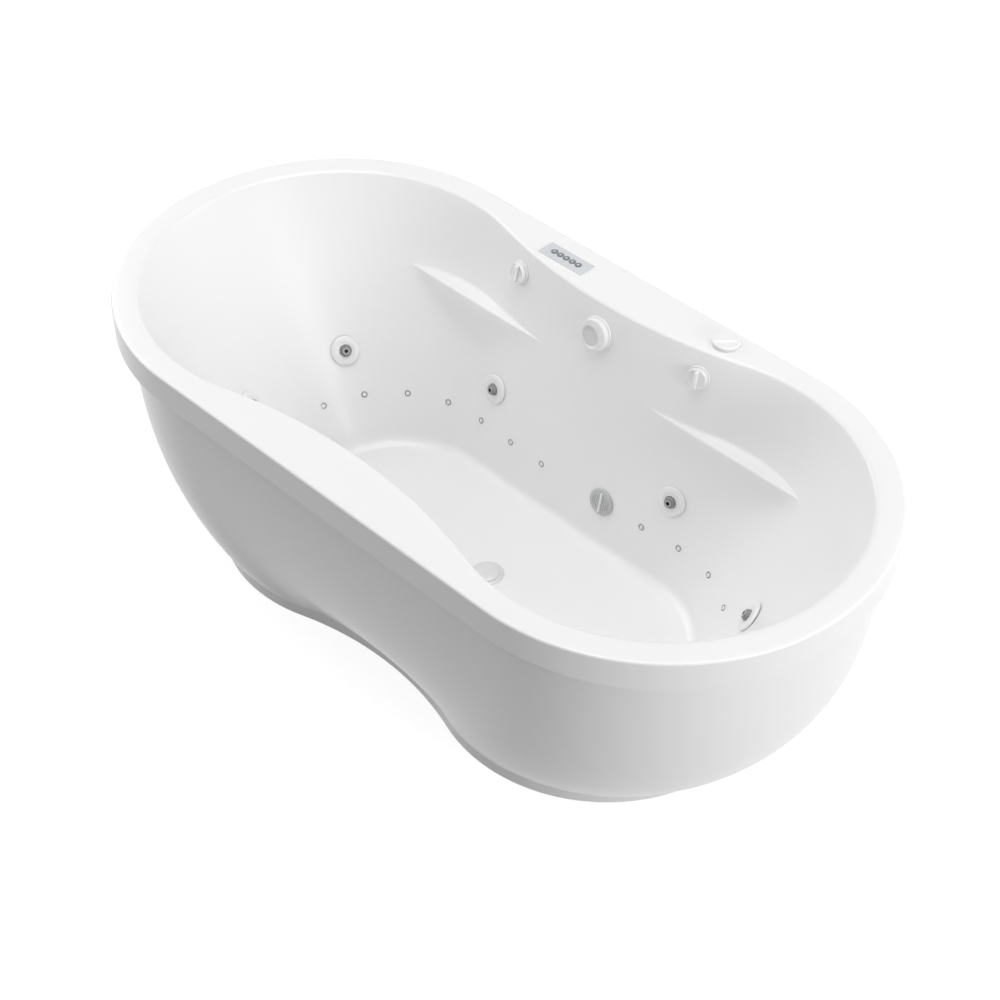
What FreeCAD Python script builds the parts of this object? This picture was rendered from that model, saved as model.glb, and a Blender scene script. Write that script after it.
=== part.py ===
import FreeCAD, Part
import math
import os

# Freestanding oval bath with water jets and air injectors, in millimetres.
# +Z is up and X runs along the bath.  The origin is on the floor under the middle of the bath.
# The control side, with the keypad, the knobs and the overflow, is +Y.

V = FreeCAD.Vector
UP = V(0, 0, 1)
SIDES = (1, -1)

# Acrylic shell: the rim is a plain oval, the mouth draws in at a waist and the floor is a smaller oval.
bath_length = 1803.0
bath_width = 908.0
bath_height = 584.0
rim_drop = 66.0
rim_edge_radius = 7.0
shell_wall = 6.0
basin_wall_level = 7.0
end_deck_width = 53.4
side_deck_width = 54.3
waist_deck_width = 118.9
mouth_edge_radius = 9.0
floor_height = 50.0
floor_end_inset = 399.5
floor_side_inset = 227.5
floor_corner_radius = 30.0
armrest_drop = 169.0
armrest_side_inset = 151.0

# Skirt: hangs from the rim and flares in towards a drawn-in foot.
skirt_wall = 5.0
skirt_flange_thickness = 4.0
skirt_flange_tuck = 1.0
skirt_end_inset = 23.5
skirt_side_inset = 39.0
skirt_waist_inset = 42.0
skirt_foot_end_inset = 219.7
skirt_foot_side_inset = 104.0
skirt_foot_waist_inset = 158.0
skirt_rise_power = 2.83
skirt_round_power = 1.17
skirt_levels = (0.0, 0.03, 0.12, 0.28, 0.55, 1.0)

# Plinth ring under the skirt.
plinth_height = 30.0
plinth_wall = 12.0
plinth_reveal = 1.5

# Flat facets that stand in for the swept walls, and the sides of round pipes that nobody sees.
end_facets = 12
waist_facets = 3
round_facets = 3
pipe_sides = 8
round_sides = (12, 16, 24)
round_limits = (12.0, 40.0)
bend_room = 0.45
flat_tolerance = 1e-7

# General clearances.
rest_gap = 0.3
running_gap = 0.05
hole_gap = 0.3
seal_thickness = 5.0

# Underframe: board bonded under the floor, timber rails, cross members and levelling feet.
board_thickness = 12.0
board_edge_inset = 30.0
board_slot_width = 60.0
rail_height = 20.0
rail_width = 30.0
rail_spacing = 300.0
rail_inner_end = 80.0
rail_end_inset = 81.8
cross_member_width = 40.0
cross_member_inner = 110.0
cross_member_inset = 141.8
foot_inset = 106.8
foot_pad_across_corners = 40.0
foot_pad_thickness = 6.0
foot_stem_radius = 6.0
foot_stem_top = 44.0

# Water jets: four at the ends and four along the sides.
jet_height = 242.0
end_jet_spacing = 276.0
side_jet_spacing = 516.0
jet_flange_radius = 30.0
jet_flange_thickness = 6.0
jet_barrel_radius = 22.0
jet_barrel_sides = 12
jet_barrel_length = 42.0
jet_pocket_radius = 13.6
jet_pocket_depth = 14.0
nozzle_radius = 12.9
nozzle_sides = 16
nozzle_bore_sides = 8
nozzle_snout_radius = 8.0
nozzle_snout_length = 4.0
nozzle_bore_radius = 4.5
nozzle_bore_depth = 8.0
locknut_across_corners = 66.0
locknut_thickness = 8.0

# Water manifold: rigid pipe round the shell, open at the blower end.
water_pipe_radius = 14.0
water_pipe_height = 222.0
water_pipe_bend = 30.0
water_pipe_stand_off = 98.0
water_pipe_turns = (17.0, 42.0, 66.0)
water_pipe_end_turn = 28.0
stub_share = 0.8

# Air injectors: small round outlets low in the wall, spaced along it from the waist.
injector_height = 152.0
injector_pitch = 98.0
injector_first_left = 84.0
injector_first_right = 204.0
injector_count_left = 7
injector_count_right = 5
injector_radius = 7.0
injector_stand = 1.6
injector_bite = 10.0
injector_sides = 8

# Air manifold: closed pipe ring below the injectors.
air_pipe_radius = 9.0
air_pipe_height = 134.0
air_pipe_bend = 30.0
air_pipe_stand_off = 53.0
air_pipe_turns = (22.0, 52.0, 84.0)

# Suction fitting and its pipe to the pump.
suction_place = 94.0
suction_height = 155.0
suction_cover_radius = 29.0
suction_cover_thickness = 6.0
suction_bar_width = 5.0
suction_bar_height = 3.0
suction_bore_radius = 19.0
suction_body_radius = 26.0
suction_body_depth = 20.0
suction_pipe_radius = 16.0
suction_pipe_bend = 24.0
suction_pipe_height = 95.0
suction_pipe_inset = 36.0
suction_pipe_turns = (80.0, 50.0)
suction_stand_off = 38.0
suction_swing = 60.0
suction_arrival = 70.0

# Pump at the +X end.
pump_gap = 3.0
pump_height = 126.0
motor_radius = 55.0
motor_mount_radius = 44.0
motor_start = -140.0
motor_end = 38.0
volute_radius = 66.0
volute_start = 44.0
volute_end = 104.0
volute_wall = 7.0
volute_inlet_length = 26.0
shaft_radius = 7.0
impeller_radius = 46.0
impeller_thickness = 5.0
impeller_vane_height = 16.0
impeller_vane_start = 15.0
impeller_vane_count = 5
impeller_gap = 4.0
vane_edge_gap = 1.0
impeller_vane_thickness = 4.0
cradle_thickness = 4.0
cradle_middle = -60.0
cradle_half_length = 60.0
cradle_reach = (-148.0, -30.0)
saddle_half_length = 40.0
saddle_reach = (-50.0, -10.0)

# Air blower at the -X end.
blower_gap = 17.0
blower_radius = 55.0
blower_base = 75.0
blower_top = 190.0
blower_wall = 4.0
blower_post_radius = 27.0
blower_post_gap = 4.0
rotor_radius = 42.0
rotor_base = 112.0
rotor_disc_thickness = 3.0
rotor_vane_start = 23.0
rotor_height = 30.0
rotor_vane_count = 8
rotor_vane_thickness = 3.0
rotor_shaft_radius = 6.0
bracket_half_width = 30.0
bracket_reach = (8.0, 152.0)
bracket_post_length = 32.0
air_hose_radius = 7.2
air_hose_bend = 34.0
air_hose_spigot = (-18.0, 30.0)
air_hose_rise = 50.0
air_hose_loop_drop = 116.0
air_hose_loop_sag = 58.0
air_hose_loop_half_width = 48.0
air_hose_return = -84.0
air_hose_low = 250.0
air_hose_stand_offs = (20.0, 28.0, 69.0)

# Drain, waste pipe and overflow.
drain_flange_radius = 36.0
drain_flange_thickness = 2.5
drain_bore_radius = 19.0
drain_body_radius = 25.0
drain_body_base = 14.0
drain_body_wall = 4.0
stopper_radius = 27.0
stopper_thickness = 4.0
stopper_stem_radius = 4.0
stopper_guide_lift = 12.0
waste_outlet_radius = 20.0
waste_outlet_length = 12.0
waste_pipe_radius = 14.0
waste_pipe_height = 25.0
waste_riser_gap = 14.5
overflow_drop = 69.0
overflow_plate_radius = 37.0
overflow_plate_thickness = 4.0
overflow_knob_radius = 34.0
overflow_knob_thickness = 13.0
overflow_dish_depth = 5.0
overflow_dish_radius = 24.0
overflow_dish_shift = 9.0
overflow_boss_radius = 20.0
overflow_body_depth = 40.0

# Air controls for the water jets: two on the wall and one on the deck.
wall_knob_place = 249.0
wall_knob_drop = 59.0
wall_collar_radius = 26.0
wall_collar_thickness = 3.0
wall_knob_radius = 22.0
wall_knob_thickness = 9.0
grip_bar_width = 9.0
grip_bar_height = 7.0
grip_bar_inset = 2.2
valve_body_radius = 13.0
valve_body_length = 34.0
spindle_radius = 5.0
spindle_length = 14.0
deck_knob_x = 262.0
deck_knob_inset = 44.0
deck_knob_radius = 29.0
deck_knob_height = 9.0
deck_knob_chamfer = 2.5
deck_valve_radius = 18.0
deck_valve_neck_radius = 12.0
deck_valve_length = 44.0

# Keypad on the deck.
keypad_x = -159.0
keypad_inset = 63.0
keypad_length = 124.0
keypad_width = 44.0
keypad_plate = 1.6
keypad_box_length = 100.0
keypad_box_width = 24.0
keypad_box_depth = 18.0
button_radius = 6.5
button_pitch = 17.0
button_count = 5
button_stand = 1.2
button_travel = 0.8
button_gap = 0.3

# Electronic control box with its low-voltage lead and supply inlet.
box_start = -290.0
box_end = -140.0
box_side_inset = 154.0
box_depth = 38.0
box_top = 112.0
lead_radius = 3.0
lead_drop = 30.0
lead_route = ((-168.0, 450.0, 47.0), (-180.0, 300.0, 29.0), (-192.0, 222.0, 21.0), (-200.0, 160.0, 22.0))
gland_radius = 11.0
gland_bore_radius = 5.0
gland_length = 20.0
gland_inset = 30.0


class Outline:
    """Plan outline: two round ends, and two long sides that draw in to a waist."""

    def __init__(self, length, width, waist):
        self.size = (length, width, waist)
        self.r = width / 2
        self.c = length / 2 - self.r
        self.tip = length / 2
        self.w = waist / 2
        draw_in = self.r - self.w
        if abs(draw_in) < 0.01:
            self.waist_r = None
            self.join = (self.c, self.r)
            self.half_waist_run = self.c
        else:
            self.waist_r = (self.c ** 2 + self.w ** 2 - self.r ** 2) / (2 * draw_in)
            reach = self.r + self.waist_r
            self.join = (self.c - self.r * self.c / reach, self.r * (self.w + self.waist_r) / reach)
            self.half_waist_run = self.waist_r * math.asin(self.join[0] / self.waist_r)

    def grown(self, distance):
        length, width, waist = self.size
        return Outline(length + 2 * distance, width + 2 * distance, waist + 2 * distance)

    def corners(self, z):
        """Corners of flat facets all round the outline; every outline has the same number of them."""
        quarter = [self.side_at(self.join[0] * k / waist_facets)[0] for k in range(waist_facets)]
        start = math.atan2(self.join[1], self.join[0] - self.c)
        for k in range(end_facets + 1):
            angle = start * (1 - k / end_facets)
            quarter.append((self.c + self.r * math.cos(angle), self.r * math.sin(angle)))
        half = quarter + [(x, -y) for x, y in quarter[-2::-1]]
        return [V(x, y, z) for x, y in half + [(-x, y) for x, y in half[-2:0:-1]]]

    def block(self, low, high):
        """Upright block with this outline, in flat facets."""
        return flat_face(self.corners(low)).extrude(V(0, 0, high - low))

    def side_at(self, x):
        """Point on the +Y side at x, with the outward normal there."""
        reach = abs(x)
        if reach <= self.join[0] and self.waist_r is None:
            return (x, self.r), (0.0, 1.0)
        if reach <= self.join[0]:
            y = self.w + self.waist_r - math.copysign(math.sqrt(self.waist_r ** 2 - x ** 2), self.waist_r)
            return (x, y), (-x / self.waist_r, (self.w + self.waist_r - y) / self.waist_r)
        y = math.sqrt(self.r ** 2 - (reach - self.c) ** 2)
        return (x, y), (math.copysign((reach - self.c) / self.r, x), y / self.r)

    def end_at(self, y):
        """Point on the +X end at y, with the outward normal there."""
        step = math.sqrt(self.r ** 2 - y ** 2)
        return (self.c + step, y), (step / self.r, y / self.r)

    def around_end(self, turns):
        """Points on the +X end arc at angles in degrees from the middle of the end."""
        angles = [math.radians(turn) for turn in turns]
        return [(self.c + self.r * math.cos(angle), self.r * math.sin(angle)) for angle in angles]

    def along(self, run):
        """Point a given run along the +Y side from the waist towards +X, with its outward normal."""
        if run <= self.half_waist_run and self.waist_r is None:
            return (run, self.r), (0.0, 1.0)
        if run <= self.half_waist_run:
            return self.side_at(self.waist_r * math.sin(run / self.waist_r))
        start = math.atan2(self.join[1], self.join[0] - self.c)
        angle = start - (run - self.half_waist_run) / self.r
        across, up = math.cos(angle), math.sin(angle)
        return (self.c + self.r * across, self.r * up), (across, up)


def between(low, high, share):
    return Outline(*(a + (b - a) * share for a, b in zip(low.size, high.size)))


class Spot:
    """A place on the basin wall.  Its local +Z points into the basin and its local X runs level."""

    def __init__(self, point, inward):
        across = UP.cross(inward).normalize()
        self.inward = inward
        turn = FreeCAD.Rotation(across, inward.cross(across), inward, "ZXY")
        self.placement = FreeCAD.Placement(point, turn)

    def put(self, shape):
        placed = shape.copy()
        placed.Placement = self.placement
        return placed


def rim_inset(end, side, waist):
    """Outline drawn in from the rim by these distances at its ends, its sides and its waist."""
    return Outline(bath_length - 2 * end, bath_width - 2 * side, bath_width - 2 * waist)


def basin_at(z):
    """Outline of the basin's inner wall at a height."""
    return between(basin_floor, mouth, (z - floor_height) / (bath_height - floor_height))


def skirt_at(level):
    """Outline of the skirt's outer face, from 0 at its foot to 1 at its top."""
    share = (1 - (1 - level) ** skirt_rise_power) ** (1 / skirt_round_power)
    return between(skirt_foot, skirt_top, share)


# Outlines that the pieces share.
rim = rim_inset(0, 0, 0)
mouth = rim_inset(end_deck_width, side_deck_width, waist_deck_width)
basin_floor = rim_inset(floor_end_inset, floor_side_inset, floor_side_inset)
skirt_top = rim_inset(skirt_end_inset, skirt_side_inset, skirt_waist_inset)
skirt_foot = rim_inset(skirt_foot_end_inset, skirt_foot_side_inset, skirt_foot_waist_inset)

# Heights.
rim_underside = bath_height - rim_drop
deck_underside = bath_height - shell_wall
shell_underside = floor_height - shell_wall
skirt_top_height = rim_underside + skirt_flange_tuck + skirt_flange_thickness
board_underside = shell_underside - board_thickness
rail_underside = board_underside - rail_height
drain_flange_top = floor_height + drain_flange_thickness
armrest_height = bath_height - armrest_drop
overflow_height = bath_height - overflow_drop
wall_knob_height = bath_height - wall_knob_drop

# Places along and across the bath.
armrest_half_gap = bath_width / 2 - armrest_side_inset
rail_outer_end = skirt_foot.tip - rail_end_inset
cross_member_outer = skirt_foot.tip - cross_member_inset
foot_place = skirt_foot.tip - foot_inset
water_loop = basin_at(water_pipe_height).grown(water_pipe_stand_off)
air_ring = basin_at(air_pipe_height).grown(air_pipe_stand_off)
water_outlet_x = water_loop.around_end(water_pipe_turns)[0][0]
air_ring_end = air_ring.around_end(air_pipe_turns)[0][0]
pump_x = air_ring_end + air_pipe_radius + pump_gap + volute_radius
blower_x = -(basin_at(blower_top).tip + basin_wall_level + blower_gap + blower_radius)
waste_riser_y = basin_floor.w + basin_wall_level + waste_riser_gap + waste_pipe_radius
deck_knob_y = bath_width / 2 - deck_knob_inset
keypad_y = bath_width / 2 - keypad_inset
box_far = bath_width / 2 - box_side_inset
box_near = box_far - box_depth


def past_end(z, stand_off):
    """How far out along X a piece sits that stands off the outside of the basin's end at a height."""
    return basin_at(z).tip + basin_wall_level + stand_off


def past_side(x, z, stand_off):
    """The same along Y, off the outside of the basin's side at x."""
    return basin_at(z).side_at(x)[0][1] + basin_wall_level + stand_off


def wall_spot(find, z):
    """Spot on the basin wall at height z, where find picks a point and normal from an outline."""
    (x, y), (level_x, level_y) = find(basin_at(z))
    (next_x, next_y), _ = find(basin_at(z + 1))
    lean = (next_x - x) * level_x + (next_y - y) * level_y
    return Spot(V(x, y, z), V(-level_x, -level_y, lean).normalize())


def mirrored(spot, flip_x, flip_y):
    """The same spot on another quarter of the bath."""
    base = spot.placement.Base
    inward = spot.inward
    return Spot(V(base.x * flip_x, base.y * flip_y, base.z),
                V(inward.x * flip_x, inward.y * flip_y, inward.z))


def block(x, y, z):
    """Box from its (low, high) pairs."""
    return Part.makeBox(x[1] - x[0], y[1] - y[0], z[1] - z[0], V(x[0], y[0], z[0]))


def cylinder(radius, low, high):
    """True cylinder, for shafts that move, the bores they move in and the outside connections."""
    return Part.makeCylinder(radius, high - low, V(0, 0, low))


def rod(radius, low, high):
    return polygon_prism(sides_for(radius), radius, low, high)


def sides_for(radius):
    """How many flat sides stand in for a round of this radius."""
    return round_sides[sum(radius > limit for limit in round_limits)]


def flat_face(corners):
    return Part.Face(Part.makePolygon(corners + corners[:1]))


def flat_faces(corners):
    """One face for four corners in a plane, or else two triangles."""
    a, b, c, d = corners
    normal = (b - a).cross(c - a)
    if abs(normal.dot(d - a)) < flat_tolerance * normal.Length:
        return [flat_face(corners)]
    return [flat_face([a, b, c]), flat_face([a, c, d])]


def faceted(rings):
    """Solid with flat facets between closed rings that all have the same number of corners."""
    faces = [flat_face(rings[0]), flat_face(rings[-1])]
    for low, high in zip(rings, rings[1:]):
        for k in range(len(low)):
            faces += flat_faces([low[k - 1], low[k], high[k], high[k - 1]])
    return as_solid(faces)


def as_solid(faces):
    solid = Part.makeSolid(Part.makeShell(faces))
    if solid.Volume < 0:
        solid.reverse()
    return solid


def ring(sides, radius, z):
    turns = [2 * math.pi * k / sides for k in range(sides)]
    return [V(radius * math.cos(turn), radius * math.sin(turn), z) for turn in turns]


def polygon_prism(sides, radius, low, high):
    return flat_face(ring(sides, radius, low)).extrude(V(0, 0, high - low))


def turned(profile):
    """Solid with flat facets turned about Z from a closed profile of (radius, height) points."""
    sides = sides_for(max(radius for radius, _ in profile))
    faces = []
    for (radius, height), (next_radius, next_height) in zip(profile, profile[1:] + profile[:1]):
        here = ring(sides, radius, height)
        after = ring(sides, next_radius, next_height)
        if radius and next_radius:
            for k in range(sides):
                faces += flat_faces([here[k - 1], here[k], after[k], after[k - 1]])
        elif radius or next_radius:
            faces.append(flat_face(here if radius else after))
    return as_solid(faces)


def group(shapes):
    return Part.makeCompound(shapes)


def bent_route(points, bend):
    """Route with each corner cut across, as far as its runs leave room for."""
    corners = [V(*point) for point in points]
    route = corners[:1]
    for before, corner, after in zip(corners, corners[1:], corners[2:]):
        arrive = (corner - before).normalize()
        leave = (after - corner).normalize()
        half_turn = arrive.getAngle(leave) / 2
        setback = min(bend * math.tan(half_turn), bend_room * before.distanceToPoint(corner),
                      bend_room * corner.distanceToPoint(after))
        route += [corner - arrive * setback, corner + leave * setback]
    return route + corners[-1:]


def pipe(points, radius, bend):
    """Pipe with flat sides along a route, mitred where it turns."""
    route = bent_route(points, bend)
    runs = [(after - before).normalize() for before, after in zip(route, route[1:])]
    turn = FreeCAD.Rotation(UP, runs[0])
    corners = [route[0] + turn.multVec(corner) for corner in ring(pipe_sides, radius, 0)]
    rings = [corners]
    for index, place in enumerate(route[1:]):
        run = runs[index]
        onward = runs[min(index + 1, len(runs) - 1)]
        mitre = (run + onward).normalize()
        corners = [corner + run * ((place - corner).dot(mitre) / run.dot(mitre)) for corner in corners]
        rings.append(corners)
    return faceted(rings)


def solid_near(shape, point):
    """The solid of a cut shape that lies nearest to a point."""
    marker = Part.Vertex(point)
    return min(shape.Solids, key=lambda solid: solid.distToShape(marker)[0])


def jet_spots():
    end = wall_spot(lambda outline: outline.end_at(end_jet_spacing / 2), jet_height)
    side = wall_spot(lambda outline: outline.side_at(side_jet_spacing / 2), jet_height)
    return [mirrored(spot, flip_x, flip_y) for spot in (end, side) for flip_x in SIDES for flip_y in SIDES]


def jet_seats():
    """How far each jet's flange stands off the wall, so that its rim clears the hollow of the end walls."""
    end = basin_at(jet_height)
    hollow = jet_flange_radius ** 2 / (2 * end.r)
    facet_rise = end.r * (1 - math.cos(math.pi / 4 / end_facets))
    return [rest_gap + hollow + facet_rise] * 4 + [rest_gap + facet_rise] * 4


def injector_spots():
    spots = []
    for flip_x, first, count in ((-1, injector_first_left, injector_count_left),
                                 (1, injector_first_right, injector_count_right)):
        for index in range(count):
            run = first + index * injector_pitch
            spot = wall_spot(lambda outline: outline.along(run), injector_height)
            spots += [mirrored(spot, flip_x, flip_y) for flip_y in SIDES]
    return spots


def suction_spot():
    return wall_spot(lambda outline: outline.side_at(suction_place), suction_height)


def overflow_spot():
    return wall_spot(lambda outline: outline.side_at(0.0), overflow_height)


def wall_knob_spots():
    spot = wall_spot(lambda outline: outline.side_at(wall_knob_place), wall_knob_height)
    return [mirrored(spot, -1, 1), spot]


def button_places():
    first = keypad_x - button_pitch * (button_count - 1) / 2
    return [(first + index * button_pitch, keypad_y) for index in range(button_count)]


def foot_places():
    return [(foot_place * flip_x, rail_spacing / 2 * flip_y) for flip_x in SIDES for flip_y in SIDES]


def basin_body(offset, low, corner_radius, edge_radius, top):
    """Solid that fills the basin out to an offset from its inner wall, with the armrest ledges left out."""
    turns = [math.pi / 2 * k / round_facets for k in range(round_facets + 1)]
    steps = [(low + corner_radius * (1 - math.cos(turn)), offset - corner_radius * (1 - math.sin(turn)))
             for turn in turns]
    steps += [(top - edge_radius * (1 - math.sin(turn)), offset + edge_radius * (1 - math.cos(turn)))
              for turn in turns if edge_radius or not turn]
    body = faceted([basin_at(z).grown(spread).corners(z) for z, spread in steps])
    reach = armrest_half_gap + offset
    shelf = armrest_height - (shell_wall if offset else 0)
    for low_y, high_y in ((reach, bath_width), (-bath_width, -reach)):
        body = body.cut(block((-bath_length, bath_length), (low_y, high_y), (0, shelf)))
    return body


def rim_body():
    """The whole rim as a solid block with its top edge rounded."""
    turns = [math.pi / 2 * k / round_facets for k in range(round_facets + 1)]
    steps = [(bath_height - rim_edge_radius * (1 - math.sin(turn)), rim_edge_radius * (math.cos(turn) - 1))
             for turn in turns]
    return faceted([rim.corners(rim_underside)] + [rim.grown(inset).corners(z) for z, inset in steps])


def wall_holes():
    """Holes in the basin wall, with a flat seat cut in front of each flanged fitting."""
    reach = 4 * shell_wall
    through = (-reach, reach)
    holes = [spot.put(polygon_prism(injector_sides, injector_radius + hole_gap, *through))
             for spot in injector_spots()]
    seats = []
    for spot, seat in zip(jet_spots(), jet_seats()):
        holes.append(spot.put(polygon_prism(jet_barrel_sides, jet_barrel_radius + hole_gap, *through)))
        seats.append((spot, jet_flange_radius, seat - rest_gap))
    for spot in wall_knob_spots():
        holes.append(spot.put(rod(valve_body_radius + hole_gap, *through)))
        seats.append((spot, wall_collar_radius, 0))
    holes.append(suction_spot().put(rod(suction_bore_radius, *through)))
    holes.append(overflow_spot().put(rod(overflow_boss_radius + hole_gap, *through)))
    seats += [(suction_spot(), suction_cover_radius, 0), (overflow_spot(), overflow_plate_radius, 0)]
    return holes + [spot.put(rod(radius + hole_gap, low, low + reach)) for spot, radius, low in seats]


def tub_shell():
    under_deck = rim.grown(-shell_wall).block(rim_underside, deck_underside)
    bowl = basin_body(basin_wall_level, shell_underside, floor_corner_radius + shell_wall, 0,
                      deck_underside)
    shell = rim_body().cut(under_deck).fuse(bowl)
    shell = shell.cut(basin_body(0, floor_height, floor_corner_radius, mouth_edge_radius, bath_height))
    deck_hole = rod(deck_valve_neck_radius + hole_gap, deck_underside, bath_height)
    deck_hole.translate(V(deck_knob_x, deck_knob_y, 0))
    drain_hole = rod(drain_bore_radius + drain_body_wall + hole_gap, shell_underside, floor_height)
    keypad_hole = keypad_box(hole_gap, deck_underside, bath_height)
    return shell.cut(wall_holes() + [drain_hole, deck_hole, keypad_hole])


def keypad_box(gap, low, high):
    """Block for the part of the keypad that passes through the deck."""
    half_x = keypad_box_length / 2 + gap
    half_y = keypad_box_width / 2 + gap
    return block((keypad_x - half_x, keypad_x + half_x), (keypad_y - half_y, keypad_y + half_y), (low, high))


def skirt():
    height = skirt_top_height - plinth_height

    def skin(offset):
        return faceted([skirt_at(level).grown(offset).corners(plinth_height + level * height)
                        for level in skirt_levels])

    low = skirt_top_height - skirt_flange_thickness
    flange = rim.grown(-shell_wall - rest_gap).block(low, skirt_top_height)
    return skin(0).fuse(flange).cut(skin(-skirt_wall))


def plinth():
    outer = skirt_foot.grown(-plinth_reveal)
    return outer.block(0, plinth_height).cut(outer.grown(-plinth_wall).block(0, plinth_height))


def base_board():
    board = basin_floor.grown(-board_edge_inset).block(board_underside, shell_underside)
    drain_hole = rod(drain_body_radius + hole_gap, board_underside, shell_underside)
    half_slot = board_slot_width / 2
    slot = block((-half_slot, half_slot), (0, bath_width / 2), (board_underside, shell_underside))
    return board.cut([drain_hole, slot])


def base_rails():
    rails = []
    for flip_x in SIDES:
        for flip_y in SIDES:
            ends = sorted((rail_inner_end * flip_x, rail_outer_end * flip_x))
            middle = rail_spacing / 2 * flip_y
            sides = (middle - rail_width / 2, middle + rail_width / 2)
            rail = block(ends, sides, (rail_underside, board_underside))
            hole = rod(foot_stem_radius + running_gap, rail_underside, board_underside)
            hole.translate(V(foot_place * flip_x, middle, 0))
            rails.append(rail.cut(hole))
    return group(rails)


def cross_members():
    half_gap = (rail_spacing - rail_width) / 2
    bars = []
    for flip_x in SIDES:
        for place in (cross_member_inner, cross_member_outer):
            middle = place * flip_x
            ends = (middle - cross_member_width / 2, middle + cross_member_width / 2)
            bars.append(block(ends, (-half_gap, half_gap), (rail_underside, board_underside)))
    box_middle = (box_start + box_end) / 2
    ends = (box_middle - cross_member_width / 2, box_middle + cross_member_width / 2)
    box_seat = (half_gap + rail_width, (box_near + box_far) / 2)
    bars.append(block(ends, box_seat, (rail_underside, board_underside)))
    return group(bars)


def foot(place):
    pad = polygon_prism(6, foot_pad_across_corners / 2, 0, foot_pad_thickness)
    piece = pad.fuse(rod(foot_stem_radius, foot_pad_thickness, foot_stem_top))
    piece.translate(V(place[0], place[1], 0))
    return piece


def jet_fittings():
    fittings = []
    for spot, seat in zip(jet_spots(), jet_seats()):
        front = seat + jet_flange_thickness
        flange = rod(jet_flange_radius, seat, front)
        barrel = polygon_prism(jet_barrel_sides, jet_barrel_radius, -jet_barrel_length, seat)
        pocket = polygon_prism(nozzle_sides, jet_pocket_radius, front - jet_pocket_depth, front)
        fittings.append(spot.put(flange.fuse(barrel).cut(pocket)))
    return group(fittings)


def jet_locknuts():
    nuts = []
    for spot in jet_spots():
        top = -basin_wall_level - seal_thickness
        nut = polygon_prism(6, locknut_across_corners / 2, top - locknut_thickness, top)
        hole = polygon_prism(jet_barrel_sides, jet_barrel_radius, top - locknut_thickness, top)
        nuts.append(spot.put(nut.cut(hole)))
    return group(nuts)


def jet_nozzle(spot, seat):
    """Eyeball nozzle with a fluted grip, whose corners stay inside one sphere about its centre."""
    centre = nozzle_centre(seat)
    shoulder = nozzle_radius * math.sin(math.pi / 4)
    snout_end = centre + shoulder + nozzle_snout_length
    bands = [(shoulder, centre - shoulder), (nozzle_radius, centre), (shoulder, centre + shoulder),
             (nozzle_snout_radius, snout_end)]
    body = faceted([ring(nozzle_sides, radius, z) for radius, z in bands])
    hole = polygon_prism(nozzle_bore_sides, nozzle_bore_radius, snout_end - nozzle_bore_depth, snout_end + 1)
    return spot.put(body.cut(hole))


def nozzle_centre(seat):
    """Height of the eyeball's centre on the jet's axis."""
    return seat + jet_flange_thickness - jet_pocket_depth + nozzle_radius + rest_gap


def water_route():
    """Route of the water manifold from its blower end on the -Y side, round the pump end and back."""
    near = water_loop.around_end(water_pipe_turns)
    far = [(-x, y) for x, y in water_loop.around_end([water_pipe_end_turn, *water_pipe_turns[1:]])]
    half = [(x, y, water_pipe_height) for x, y in near + far[::-1]]
    return [(x, -y, z) for x, y, z in half[::-1]] + half


def water_manifold():
    route = water_route()
    loop = pipe(route, water_pipe_radius, water_pipe_bend)
    stubs = []
    for spot in jet_spots():
        rear = spot.placement.multVec(V(0, 0, 2 * rest_gap - jet_barrel_length))
        stubs.append(stub_to_loop(rear, loop, water_pipe_radius))
    riser = polygon_prism(pipe_sides, water_pipe_radius, pump_height, water_pipe_height)
    riser.translate(V(water_outlet_x, (volute_start + volute_end) / 2, 0))
    manifold = loop.fuse(stubs + [riser])
    manifold = manifold.cut([jet_fittings(), volute_block()])
    return solid_near(manifold, V(*route[0]))


def stub_to_loop(start, loop, radius):
    """Short pipe from a point into the nearest place on a loop of the same radius."""
    _, pairs, _ = loop.distToShape(Part.Vertex(start))
    towards = pairs[0][0] - start
    end = start + V(towards.x, towards.y, towards.z).normalize() * (towards.Length + radius)
    return pipe([tuple(start), tuple(end)], radius * stub_share, 0)


def injector_bodies():
    manifold = air_loop()
    bodies = []
    for spot in injector_spots():
        outlet = spot.placement.Base
        reach = manifold.distToShape(Part.Vertex(outlet))[0] + injector_bite
        body = spot.put(polygon_prism(injector_sides, injector_radius, -reach, injector_stand))
        bodies.append(solid_near(body.cut(manifold), outlet))
    return group(bodies)


def air_loop():
    quarter = [(x, y, air_pipe_height) for x, y in air_ring.around_end(air_pipe_turns)]
    half = [(air_ring_end, 0, air_pipe_height)] + quarter
    half += [(-x, y, z) for x, y, z in half[::-1]]
    side = pipe(half, air_pipe_radius, air_pipe_bend)
    return side.fuse(side.mirror(V(0, 0, 0), V(0, 1, 0))).removeSplitter()


def air_hose():
    """Hose from the blower up to an anti-siphon loop under the rim and down to the air manifold."""
    start = V(blower_x + air_hose_spigot[0], air_hose_spigot[1], blower_top)
    top = bath_height - air_hose_loop_drop
    shoulder = top - air_hose_loop_sag
    at_top, at_shoulder, at_low = air_hose_stand_offs
    points = [start, start + V(0, 0, air_hose_rise),
              V(-past_end(shoulder, at_shoulder), air_hose_loop_half_width, shoulder),
              V(-past_end(top, at_top), 0, top),
              V(-past_end(shoulder, at_shoulder), -air_hose_loop_half_width, shoulder),
              V(-past_end(air_hose_low, at_low), air_hose_return, air_hose_low),
              V(-air_ring_end - 2 * air_hose_bend, air_hose_return, air_pipe_height),
              V(-air_ring_end + air_hose_bend, air_hose_return, air_pipe_height)]
    hose = pipe([tuple(point) for point in points], air_hose_radius, air_hose_bend)
    return solid_near(hose.cut(air_loop()), start)


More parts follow.
